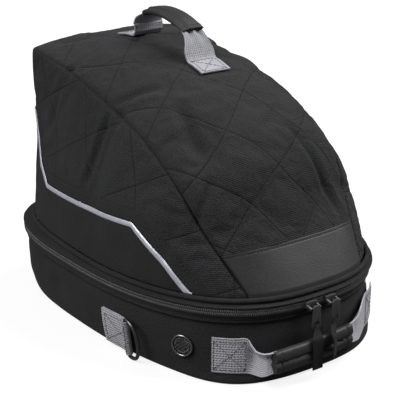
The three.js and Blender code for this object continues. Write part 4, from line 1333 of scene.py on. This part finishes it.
class BAG_OT_zip(bpy.types.Operator):
    """Makes the zip's tape, teeth and flap, the cloth hinge and the roll at the lid's foot."""

    bl_idname = "bag.zip"
    bl_label = "Zip"

    def execute(self, context):
        def tape_section(angle, t):
            return lerp(-3.4, -1.4, t), lerp(TAPE_LOW, ZIP_Z + 2, t)

        def hinge_section(angle, t):
            return lerp(-3.6, -lid_in(angle) + LID_ROLL_OUT, t), lerp(TAPE_LOW, FLAP_TOP, t)

        # The tape's finish is painted lighter, as painted light in the flap's shadow
        cloth_piece("zip_tape_cloth", CLOTHS["zip_tape_cloth"], ring_sheet(ZIP_ROUND, tape_section))
        # The teeth's finish is painted lighter, as painted highlights and painted light in the flap's
        # shadow
        piece("zip_teeth", teeth_mesh(), "coil", "zip_coil")
        flap = ring_sheet(ZIP_ROUND, flap_section, lambda s, t, p: 0.35 * rumple(p, 24))
        cloth_piece("zip_flap_cloth", CLOTHS["zip_flap_cloth"], flap)
        row = on_sheet(flap, (0, 0.5), (1, 0.5), LONG_ROW)
        thread_piece("flap_stitches", [row], "black_thread", "black_cloth")
        hinge_angles = even_angles(HINGE_TURN + 0.004, math.pi - HINGE_TURN - 0.004, 120)
        hinge = ring_sheet(hinge_angles, hinge_section, lambda s, t, p: 0.5 * rumple(p, 20))
        cloth_piece("hinge_cloth", CLOTHS["hinge_cloth"], hinge)
        section = tube_section(lambda a: -lid_in(a) + LID_ROLL_OUT + flare(a), ROLL_Z, LID_ROLL_RADIUS)
        roll = ring_sheet(ROUND, section, lambda s, t, p: 0.12 * rumple(p, 9))
        piece("lid_roll_cloth", roll.mesh(600, 14, (1.18, 0.018), closed=True), "cloth", "lid_roll")
        return {"FINISHED"}


# Webbing and grips

Pass = namedtuple("Pass", "x y z wide")


def smooth_path(rows):
    """Smooth reading of rows of points and widths by share of the way, through every row."""
    count = len(rows) - 1

    def at(share):
        x = min(max(share, 0), 1) * count
        i = min(int(x), count - 1)
        w = x - i
        pick = [rows[min(max(k, 0), count)] for k in (i - 1, i, i + 1, i + 2)]
        made = []
        for a, b, c, d in zip(*pick):
            square, cube = 2 * a - 5 * b + 4 * c - d, 3 * b - a - 3 * c + d
            made.append(b + 0.5 * w * (c - a + w * (square + w * cube)))
        return Pass(*made)

    return at


FOLD_DEPTH = 24
FOLD_LIMIT = 5.5
FOLD_AT = 0.35


def run_length(rows):
    """Length along rows of points, in millimetres."""
    return sum((Vector(b[:3]) - Vector(a[:3])).length for a, b in zip(rows, rows[1:]))


def hollow(w, slack):
    """Section of webbing that is folded lengthwise: sunk above its middle, between its edges."""
    off = (w - FOLD_AT) / (1 - FOLD_AT) if w > FOLD_AT else (FOLD_AT - w) / (1 + FOLD_AT)
    return -min(FOLD_DEPTH * slack, FOLD_LIMIT) * (1 - off**1.4)


def pleats(w, slack):
    """Section of webbing that is gathered: two soft pleats along it."""
    return 4.5 * slack * math.sin(2.3 * math.pi * w + 0.6)


def webbing_sheet(rows, across, outward, section):
    """Webbing along rows of points and widths, with the section where it is narrower than its weave."""
    path = smooth_path(rows)

    def place(s, t):
        here, after, before = path(s), path(min(s + 0.004, 1)), path(max(s - 0.004, 0))
        face = (Vector(after[:3]) - Vector(before[:3])).cross(across).normalized()
        if face.dot(outward) < 0:
            face.negate()
        w = 2 * t - 1
        slack = max(1 - here.wide / WEBBING_WIDE, 0)
        out = WEBBING_THICK / 2 + section(w, slack)
        return Vector(here[:3]) + across * (w * here.wide / 2) + face * out

    def relief(s, t, p):
        ribs = abs(math.sin(math.pi * t * WEBBING_WIDE / (sizes().rib / MM)))
        return 0.15 * ribs + 0.25 * noise.noise(p / 16)

    return Sheet(place, relief)


SEWN_Z = 30.4
SEWN_LIFT = 2.2
SEWN_CLIMB = 8
SEWN_ACROSS = (0.1, 0.9)


def sewn_rows(start, end, climb=0, count=3):
    """Rows of the webbing where it is sewn to the base wall, by plan angle, raised by the climb."""
    rows = []
    for i in range(count + 1):
        p = base_point(math.radians(lerp(start, end, i / count)), SEWN_Z + climb, SEWN_LIFT)
        rows.append(Pass(*p, WEBBING_WIDE))
    return rows


def crown_rows(start_y, end_y, count=3):
    """Rows of the webbing where it is sewn to the crown, by their y."""
    rows = []
    for i in range(count + 1):
        u = 1 - solve(lambda w: top_point(1 - w, 0).y, lerp(start_y, end_y, i / count), 0, 1)
        rows.append(Pass(*(top_point(u, 0) + Vector((0, 0, SEWN_LIFT))), WEBBING_WIDE))
    return rows


FRONT_LEFT = [
    Pass(-79.8, -200.5, 27.5, 31),
    Pass(-78.5, -206.5, 25.5, 26),
    Pass(-78, -214.5, 26.5, 25),
    Pass(-76, -221, 29, 23.5),
    Pass(-68, -225, 31.5, 22),
]
FRONT_RIGHT = [
    Pass(26.5, -225, 33.9, 20),
    Pass(31.5, -224.5, 34, 22),
    Pass(43, -221.5, 34.5, 27),
    Pass(53, -215.5, 36.5, 34),
]
TOP_BACK = [
    Pass(0, 88.4, 297, 38),
    Pass(0, 88.6, 303, 38),
    Pass(0, 88.6, 309, 38),
    Pass(0, 86.5, 315, 35),
    Pass(0, 81, 318.6, 29),
    Pass(0, 76, 319.8, 25),
]
TOP_FRONT = [
    Pass(0, 8, 311.5, 25),
    Pass(0, 2.5, 307.5, 26.5),
    Pass(0, -3, 300.5, 32),
    Pass(0, -7, 292.5, 38),
]
FRONT_GRIP_FROM = Vector((-71, -225, 31.5))
FRONT_GRIP_TO = Vector((29.5, -225, 34))
FRONT_GRIP_HALF_HIGH = 12
FRONT_GRIP_HALF_THICK = 5.5
FRONT_GRIP_SAG = 2
TOP_GRIP_ARCH = (Vector((0, 80, 320.5)), Vector((0, 50, 330)), Vector((0, 4, 312)))
TOP_GRIP_HALF_WIDE = 13.5
TOP_GRIP_HALF_THICK = 3.6
GRIP_ROUNDS = (0.065, 0.935)
Strap = namedtuple("Strap", "rows across facing section sewn")


def front_grip_sheet():
    """Two rolls, one on the other, round a closed section."""

    def place(s, t):
        turn = 2 * math.pi * t
        rise = FRONT_GRIP_HALF_HIGH * math.sin(turn)
        near = math.copysign(abs(math.cos(turn)) ** 0.6, math.cos(turn))
        waist = 1 - 0.42 * bump(rise, 1.9)
        pinch = 1 - 0.05 * (bump(s, 0.02) + bump(1 - s, 0.02))
        sag = FRONT_GRIP_SAG * 4 * s * (1 - s)
        out = FRONT_GRIP_HALF_THICK * near * waist * pinch
        return FRONT_GRIP_FROM.lerp(FRONT_GRIP_TO, s) + Vector((0, -out, rise * pinch - sag))

    def relief(s, t, p):
        return 0.35 * rumple(p, 20) - 0.5 * (bump(s - 0.07, 0.008) + bump(s - 0.93, 0.008))

    return Sheet(place, relief, Vector((-20, -225, 31)))


def top_grip_sheet():
    """Padded grip, arched between the two webbings, with a fold along it."""

    def place(s, t):
        back, high, front = TOP_GRIP_ARCH
        w = 1 - s
        middle = back * w * w + high * 2 * w * s + front * s * s
        run = (high - back) * w + (front - high) * s
        face = Vector((0, run.z, -run.y)).normalized()
        turn = 2 * math.pi * t
        c, r = math.cos(turn), math.sin(turn)
        aside = math.copysign(abs(c) ** 0.55, c) * TOP_GRIP_HALF_WIDE
        thin = 1 - 0.65 * bump(1 - s, 0.14)
        rise = math.copysign(abs(r) ** 0.7, r) * TOP_GRIP_HALF_THICK * thin
        return middle + Vector((aside, 0, 0)) + face * rise

    def relief(s, t, p):
        lap = smoothstep(p.x, -5.1, -4.6) - 0.6 * bump(p.x + 5.4, 0.5) if t < 0.5 else 0
        return 1.7 * lap + 0.3 * rumple(p, 18)

    return Sheet(place, relief, Vector((0, 42, 318)))


class BAG_OT_handles(bpy.types.Operator):
    """Makes both carrying handles: webbing, coated grips and their sewing."""

    bl_idname = "bag.handles"
    bl_label = "Handles"

    def execute(self, context):
        up, side = Vector((0, 0, 1)), Vector((1, 0, 0))
        outward = Vector((0, -1, 0))
        left = sewn_rows(-119.3, -110.9) + FRONT_LEFT
        right = FRONT_RIGHT + sewn_rows(-72, -63.5, SEWN_CLIMB)
        back, front = (crown_rows(high, low) for low, high in CROWN_SEWN)
        straps = {
            "front_webbing_left": Strap(left, up, outward, hollow, (0.03, 0.36)),
            "front_webbing_right": Strap(right, up, outward, hollow, (0.6, 0.97)),
            "top_webbing_back": Strap(back + TOP_BACK, side, up, pleats, (0.04, 0.36)),
            "top_webbing_front": Strap(TOP_FRONT + front, side, up, pleats, (0.6, 0.96)),
        }
        wide = WEBBING_WIDE * MM
        for node, strap in straps.items():
            sheet = webbing_sheet(strap.rows, strap.across, strap.facing, strap.section)
            long = run_length(strap.rows) * MM
            carrier = "top_panel_cloth" if node.startswith("top") else "base_wall_cloth"
            cloth = Cloth(
                node, "webbing", WEBBING_THICK, (100, 48), (long, wide), Cut(wide, long),
                "stretched", [carrier],
            )
            cloth_piece(f"{node}_strap", cloth, sheet)
            paths = box_stitch(sheet, *strap.sewn, *SEWN_ACROSS)
            thread_piece(f"{node}_stitches", paths, "grey_thread", "grey_webbing")
        grips = {
            "front_grip": (front_grip_sheet(), 70, 48, (0.103, 0.07)),
            "top_grip": (top_grip_sheet(), 60, 120, (0.085, 0.06)),
        }
        for node, (sheet, columns, rows, flat) in grips.items():
            bm = sheet.mesh(columns, rows, flat, closed=True, capped=True)
            piece(f"{node}_pad", bm, "coated", node)
            rounds = [on_sheet(sheet, (s, 0), (s, 1), 60) for s in GRIP_ROUNDS]
            thread_piece(f"{node}_stitches", rounds, "black_thread", "coated_cloth")
        return {"FINISHED"}


# Strap rings, their tabs and the vents


def wall_frame(angle, z):
    """Place on the base wall with directions along it, up it and out of it."""
    along = (base_point(angle + PROBE, z) - base_point(angle - PROBE, z)).normalized()
    up = (base_point(angle, z + 1) - base_point(angle, z - 1)).normalized()
    return base_point(angle, z), along, up, along.cross(up).normalized()


RING_ANGLE = math.radians(-145.6)
RING_Z = 25.1
RING_WIRE = 2
RING_STAND_OFF = 6
TAB_LONG = 43.5
TAB_LOW = 5.8
TAB_HIGH = 44.8
TAB_CUT = Cut(0.039, 0.102)
RING_SPLAY = math.radians(12)
RING_HALF = 22.5
RING_BOW = 20
RING_CORNER = 0.35


def ring_sheet_left():
    """Round wire along a straight bar and a half-oval bow."""
    origin, along, up, out = wall_frame(RING_ANGLE, RING_Z)
    bar = origin + out * RING_STAND_OFF
    forward = along * math.cos(RING_SPLAY) + out * math.sin(RING_SPLAY)
    facing = forward.cross(up).normalized()
    outline = [(0, lerp(-1 + RING_CORNER, 1 - RING_CORNER, i / 12) * RING_HALF) for i in range(13)]
    for i in range(49):
        a = math.radians(90 - 180 * i / 48)
        outline.append((RING_BOW * max(math.cos(a), 0) ** 0.7, RING_HALF * math.sin(a)))
    outline.append(outline[0])
    outs, ups = zip(*outline)

    def centre(s):
        return Vector((part_way(outs, s), part_way(ups, s)))

    def place(s, t):
        here = centre(s)
        run = centre(min(s + 0.006, 1)) - centre(max(s - 0.006, 0))
        run.normalize()
        turn = 2 * math.pi * t
        middle = bar + forward * here.x + up * here.y
        in_plane = forward * run.y - up * run.x
        return middle + in_plane * (RING_WIRE * math.cos(turn)) + facing * (RING_WIRE * math.sin(turn))

    return Sheet(place, None, bar + forward * 8)


def tab_sheet_left():
    """One strip of webbing, doubled over the ring's bar and sewn flat to the wall."""
    ring_origin, ring_along, ring_up, ring_out = wall_frame(RING_ANGLE, RING_Z)
    eye = RING_WIRE + 0.3 + 0.75
    low_out = 1.65
    high_out = low_out + 1.85
    neck = eye + 3.5
    path = [(lerp(-TAB_LONG, -neck, i / 8), low_out) for i in range(9)]
    for i in range(21):
        a = math.radians(-130 + 13 * i)
        path.append((eye * math.cos(a), RING_STAND_OFF + eye * math.sin(a)))
    path += [(lerp(-neck, -TAB_LONG, i / 8), high_out) for i in range(9)]
    runs, outs = zip(*path)

    def place(s, t):
        a, o = part_way(runs, s), part_way(outs, s)
        z = lerp(TAB_LOW, TAB_HIGH, t)
        step = base_point(RING_ANGLE + PROBE, z) - base_point(RING_ANGLE - PROBE, z)
        speed = step.length / (2 * PROBE)
        origin, _, _, out = wall_frame(RING_ANGLE + min(a, 0) / speed, z)
        sewn = origin + out * o
        looped = ring_origin + ring_up * ((z - RING_Z) / ring_up.z) + ring_out * o + ring_along * a
        return sewn.lerp(looped, smoothstep(a, -neck - 12, -neck))

    return Sheet(place, None)


def tab_lift(p):
    """Small step out of the base wall, to the face of the tab's upper layer."""
    return Vector((p.x, p.y - WIDEST_Y, 0)).normalized() * 0.7


class BAG_OT_strap_rings(bpy.types.Operator):
    """Makes the strap rings and the webbing tabs that hold them, on both sides."""

    bl_idname = "bag.strap_rings"
    bl_label = "Strap rings"

    def execute(self, context):
        ring, tab = ring_sheet_left(), tab_sheet_left()
        for side in ("left", "right"):
            bm = on_side(ring.mesh(120, 14, (0.12, 0.012), closed=True), side)
            node = f"strap_ring_{side}"
            piece(f"{node}_wire", bm, "ring", node, f"ring_{side}")
            node = f"ring_tab_{side}"
            strip = Cloth(
                node, "webbing", 1.3, (110, 30), (0.095, 0.036), TAB_CUT, "folded", ["base_wall_cloth"]
            )
            cloth_piece(f"{node}_strap", strip, tab, side=side, offset=0)
            bm = bmesh.new()
            for path in box_stitch(tab, 0.68, 0.97, *SEWN_ACROSS):
                sew(bm, [p + tab_lift(p) for p in path])
            piece(f"{node}_stitches", on_side(bm, side), "grey_thread", slot="grey_webbing")
        return {"FINISHED"}


VENT_ANGLE = math.radians(-127.2)
VENT_Z = 34.2
VENT_BORE = 9
MESH_WIRE = 0.32
MESH_PITCH = 1.55


def vent_matrix():
    origin, along, up, out = wall_frame(VENT_ANGLE, VENT_Z)
    turn = Matrix((along, up, out)).transposed().to_4x4()
    return Matrix.Translation((origin + out * 0.1) * MM) @ turn


Ridge = namedtuple("Ridge", "radius lift")
EYELET = [
    Ridge(12.0, 0.3),
    Ridge(12.0, 1.6),
    Ridge(11.7, 2.5),
    Ridge(11.1, 3.05),
    Ridge(10.5, 3.05),
    Ridge(10.0, 2.6),
    Ridge(9.7, 1.9),
    Ridge(9.6, 1.0),
    Ridge(9.6, 0.3),
]
BEADS = 22
BEAD_RING = 7.7
BEAD_RADIUS = 0.72
BEAD_LIFT = 1.5


def eyelet_mesh():
    """Rolled eyelet with a crimped inner lip, spun from its section."""
    bm = bmesh.new()
    profile = [bm.verts.new((row.radius, 0, row.lift)) for row in EYELET]
    edges = [bm.edges.new(pair) for pair in zip(profile, profile[1:])]
    bmesh.ops.spin(
        bm, geom=profile + edges, cent=(0, 0, 0), axis=(0, 0, 1),
        angle=2 * math.pi, steps=54, use_merge=True,
    )
    bmesh.ops.remove_doubles(bm, verts=bm.verts[:], dist=1e-4)
    bmesh.ops.recalc_face_normals(bm, faces=bm.faces[:])
    for k in range(BEADS):
        turn = 2 * math.pi * k / BEADS
        spot = Matrix.Translation((BEAD_RING * math.cos(turn), BEAD_RING * math.sin(turn), BEAD_LIFT))
        bmesh.ops.create_icosphere(bm, subdivisions=1, radius=BEAD_RADIUS, matrix=spot)
    smooth(bm)
    bmesh.ops.scale(bm, verts=bm.verts[:], vec=(MM, MM, MM))
    bmesh.ops.transform(bm, matrix=vent_matrix(), verts=bm.verts[:])
    return bm


def vent_wires():
    """Backing disc under crossing wires."""
    bm = bmesh.new()
    bmesh.ops.create_circle(bm, cap_ends=True, segments=40, radius=(VENT_BORE + 0.8) * MM)
    bmesh.ops.translate(bm, verts=bm.verts[:], vec=(0, 0, 0.5 * MM))
    for turn in (0, math.pi / 2):
        for k in range(-5, 6):
            off = k * MESH_PITCH
            long = 2 * math.sqrt(VENT_BORE**2 - off**2)
            spot = Vector((off, 0, 0.9 + 0.3 * turn)) * MM
            lay = Matrix.Rotation(turn, 4, "Z") @ Matrix.Translation(spot)
            bmesh.ops.create_cone(
                bm, cap_ends=True, segments=6, radius1=MESH_WIRE * MM, radius2=MESH_WIRE * MM,
                depth=long * MM, matrix=lay @ Matrix.Rotation(math.pi / 2, 4, "X"),
            )
    bmesh.ops.transform(bm, matrix=vent_matrix(), verts=bm.verts[:])
    return bm


class BAG_OT_vents(bpy.types.Operator):
    """Makes the two air vents: rolled eyelets round wire mesh."""

    bl_idname = "bag.vents"
    bl_label = "Vents"

    def execute(self, context):
        for side in ("left", "right"):
            piece(f"vent_{side}_eyelet", on_side(eyelet_mesh(), side), "nickel", f"vent_rim_{side}")
            piece(f"vent_{side}_mesh", on_side(vent_wires(), side), "mesh", f"vent_disc_{side}")
        return {"FINISHED"}


# Sliders, pull tabs and ribbons


def softened(node, width):
    """Copy of a frame node with its sharp edges rounded."""
    bm = bmesh.new()
    bm.from_mesh(frame["nodes"][node].data)
    bmesh.ops.remove_doubles(bm, verts=bm.verts[:], dist=1e-6)
    bmesh.ops.dissolve_limit(bm, angle_limit=0.02, verts=bm.verts[:], edges=bm.edges[:])
    sharp = [e for e in bm.edges if len(e.link_faces) == 2 and e.calc_face_angle() > 0.7]
    bmesh.ops.bevel(
        bm, geom=sharp, offset=width * MM, segments=3, affect="EDGES", profile=0.5, material=-1,
        clamp_overlap=True,
    )
    smooth(bm)
    for e in bm.edges:
        e.smooth = len(e.link_faces) == 2 and e.calc_face_angle() < 0.6
    return bm


RibbonRow = namedtuple("RibbonRow", "y z wide turn")
PULL_PLATE_Y = -2.15
PULL_FOOT_Z = -20.65
RIBBON_WIDE = 13
RIBBON_NECK = 5
RIBBON_FRONT_Y = -231.7
SLIDER_BEVEL = 1.0
TAB_BEVEL = 0.35
RibbonLay = namedtuple("RibbonLay", "side turn end_z drift")
RIBBONS = [
    RibbonLay("left", 0, 12, 4.5),
    RibbonLay("right", -36, 22, 11),
]


def ribbon_rows(bar, turn, end_z):
    """Rows of a ribbon, from the tab's bar: behind the tab, through its hole, over the grip and down."""
    foot, plate = PULL_FOOT_Z, PULL_PLATE_Y
    front = RIBBON_FRONT_Y - bar.y
    low = end_z - bar.z
    outside = 2 * plate - 0.5
    return [
        RibbonRow(0.5, foot - 3.8, RIBBON_NECK, 0),
        RibbonRow(0.5, foot, RIBBON_NECK, 0),
        RibbonRow(plate + 1.6, foot + 3, RIBBON_NECK, 0),
        RibbonRow(plate, foot + 3.5, RIBBON_NECK, 0),
        RibbonRow(plate - 1.6, foot + 3, RIBBON_NECK, 0),
        RibbonRow(outside - 0.6, foot - 0.6, RIBBON_NECK + 2, 0),
        RibbonRow(lerp(outside, front, 0.6), foot - 5, 0.85 * RIBBON_WIDE, 0.8 * turn),
        RibbonRow(front, foot - 9.5, RIBBON_WIDE, turn),
        RibbonRow(front - 0.6, (foot + low) / 2 - 6, RIBBON_WIDE, turn),
        RibbonRow(front - 0.4, low, RIBBON_WIDE, turn),
    ]


def ribbon_sheet(bar, rows, drift):
    """Ribbon along its rows, drifting to the left below the tab."""
    path = smooth_path([Pass(r.turn, r.y, r.z, r.wide) for r in rows])

    def place(s, t):
        here, after, before = path(s), path(min(s + 0.01, 1)), path(max(s - 0.01, 0))
        run = Vector((0, after.y - before.y, after.z - before.z)).normalized()
        across = Matrix.Rotation(math.radians(here.x), 3, run) @ Vector((1, 0, 0))
        lean = abs(across.y) * here.wide / 2
        aside = -drift * smoothstep(s, 0.4, 0.75)
        return bar + Vector((aside, here.y - lean, here.z)) + across * ((t - 0.5) * here.wide)

    return Sheet(place, lambda s, t, p: 0.12 * abs(math.sin(9 * math.pi * t)))


class BAG_OT_sliders(bpy.types.Operator):
    """Makes the zip sliders, their pull tabs and the ribbons through them."""

    bl_idname = "bag.sliders"
    bl_label = "Sliders"

    def execute(self, context):
        joints = {j["child"]: Vector(j["pos_m"]) / MM for j in frame["joints"]}
        wide = RIBBON_WIDE * MM
        for side, turn, end_z, drift in RIBBONS:
            body, slider, tab, node = (f"{k}_{side}" for k in ("pull", "slider", "pull_tab", "ribbon"))
            piece(f"{slider}_body", softened(slider, SLIDER_BEVEL), "metal", slider)
            piece(f"{tab}_plate", softened(tab, TAB_BEVEL), "metal", tab, body)
            rows = ribbon_rows(joints[body], turn, end_z)
            long = run_length([(0, r.y, r.z) for r in rows]) * MM
            band = Cloth(
                node, "nylon", 1.1, (60, 14), (long, wide), Cut(wide, long), "hung", [f"{tab}_plate"]
            )
            cloth_piece(f"{node}_band", band, ribbon_sheet(joints[body], rows, drift), body)
        return {"FINISHED"}


# Stage: floor, lights and camera

PHOTO_TURN = math.radians(36.34)
PHOTO_RISE = math.radians(19.13)
PHOTO_DISTANCE = 1.35
PHOTO_TARGET = Vector((0, 0.018, 0.13))
PHOTO_LENS = 107.3
PHOTO_SHIFT = (0.0378, -0.0326)
SKY_STRENGTH = 0.15
FLOOR_HALF = 12
FLOOR_GLOW = 0.8
FLOOR_GREY = 0.25
Sun = namedtuple("Sun", "name strength source")
SUN_SPREAD = math.radians(40)
SUNS = [
    Sun("soft_key", 2.5, Vector((-0.7, 0.12, 0.7))),
    Sun("soft_fill", 3.3, Vector((0.64, -0.22, 0.74))),
]


def stage_floor():
    bm = bmesh.new()
    bmesh.ops.create_grid(bm, x_segments=2, y_segments=2, size=FLOOR_HALF)
    mesh = bpy.data.meshes.new("floor")
    bm.to_mesh(mesh)
    bm.free()
    floor = linked("floor", mesh)
    glow = {"Emission Color": (1, 1, 1, 1), "Emission Strength": FLOOR_GLOW}
    paper = Finish("pale_floor", [FLOOR_GREY] * 3, 0.9, constants=glow)
    mesh.materials.append(paper.material)
    floor.visible_diffuse = False
    floor.visible_glossy = False
    floor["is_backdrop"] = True


def soft_light(scene):
    """White sky and wide suns."""
    scene.world = bpy.data.worlds.new("studio")
    scene.world.use_nodes = True
    sky = scene.world.node_tree.nodes["Background"].inputs
    sky["Color"].default_value = (1, 1, 1, 1)
    sky["Strength"].default_value = SKY_STRENGTH
    for sun in SUNS:
        data = bpy.data.lights.new(sun.name, "SUN")
        data.energy = sun.strength
        data.angle = SUN_SPREAD
        light = linked(sun.name, data)
        light.rotation_euler = sun.source.to_track_quat("Z", "Y").to_euler()


def photo_camera():
    """Camera at the photograph's angle."""
    level = math.cos(PHOTO_RISE)
    back = Vector((-math.sin(PHOTO_TURN) * level, -math.cos(PHOTO_TURN) * level, math.sin(PHOTO_RISE)))
    data = bpy.data.cameras.new("camera")
    data.lens = PHOTO_LENS
    data.shift_x, data.shift_y = PHOTO_SHIFT
    camera = linked("camera", data)
    camera.location = PHOTO_TARGET + back * PHOTO_DISTANCE
    camera.rotation_euler = (-back).to_track_quat("-Z", "Y").to_euler()
    return camera


class BAG_OT_stage(bpy.types.Operator):
    """Makes the pale floor, the soft lights and the camera."""

    bl_idname = "bag.stage"
    bl_label = "Stage"

    def execute(self, context):
        stage_floor()
        soft_light(context.scene)
        context.scene.camera = photo_camera()
        context.scene.view_settings.view_transform = "Standard"
        return {"FINISHED"}


OPERATORS = (
    BAG_OT_lid_top,
    BAG_OT_lid_wall,
    BAG_OT_base,
    BAG_OT_zip,
    BAG_OT_handles,
    BAG_OT_strap_rings,
    BAG_OT_vents,
    BAG_OT_sliders,
    BAG_OT_stage,
)


class BAG_PT_panel(bpy.types.Panel):
    """Sidebar panel with the bag's sizes, colours and makers."""

    bl_idname = "BAG_PT_panel"
    bl_label = "Helmet bag"
    bl_space_type = "VIEW_3D"
    bl_region_type = "UI"
    bl_category = "Bag"

    def draw(self, context):
        for group in (context.scene.bag_sizes, context.scene.bag_colours):
            for name in group.__annotations__:
                self.layout.prop(group, name)
        for operator in OPERATORS:
            self.layout.operator(operator.bl_idname)


CLASSES = (BagSizes, BagColours, *OPERATORS, BAG_PT_panel)


def register():
    for cls in CLASSES:
        bpy.utils.register_class(cls)
    bpy.types.Scene.bag_sizes = bpy.props.PointerProperty(type=BagSizes)
    bpy.types.Scene.bag_colours = bpy.props.PointerProperty(type=BagColours)


def unregister():
    del bpy.types.Scene.bag_colours
    del bpy.types.Scene.bag_sizes
    for cls in reversed(CLASSES):
        bpy.utils.unregister_class(cls)


def main():
    register()
    for operator in OPERATORS:
        group, name = operator.bl_idname.split(".")
        getattr(getattr(bpy.ops, group), name)()
    boxes = {"cad": CAD_BOX, "visual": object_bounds()}
    {name: [list(corner) for corner in box] for name, box in boxes.items()}


if __name__ == "__main__":
    main()
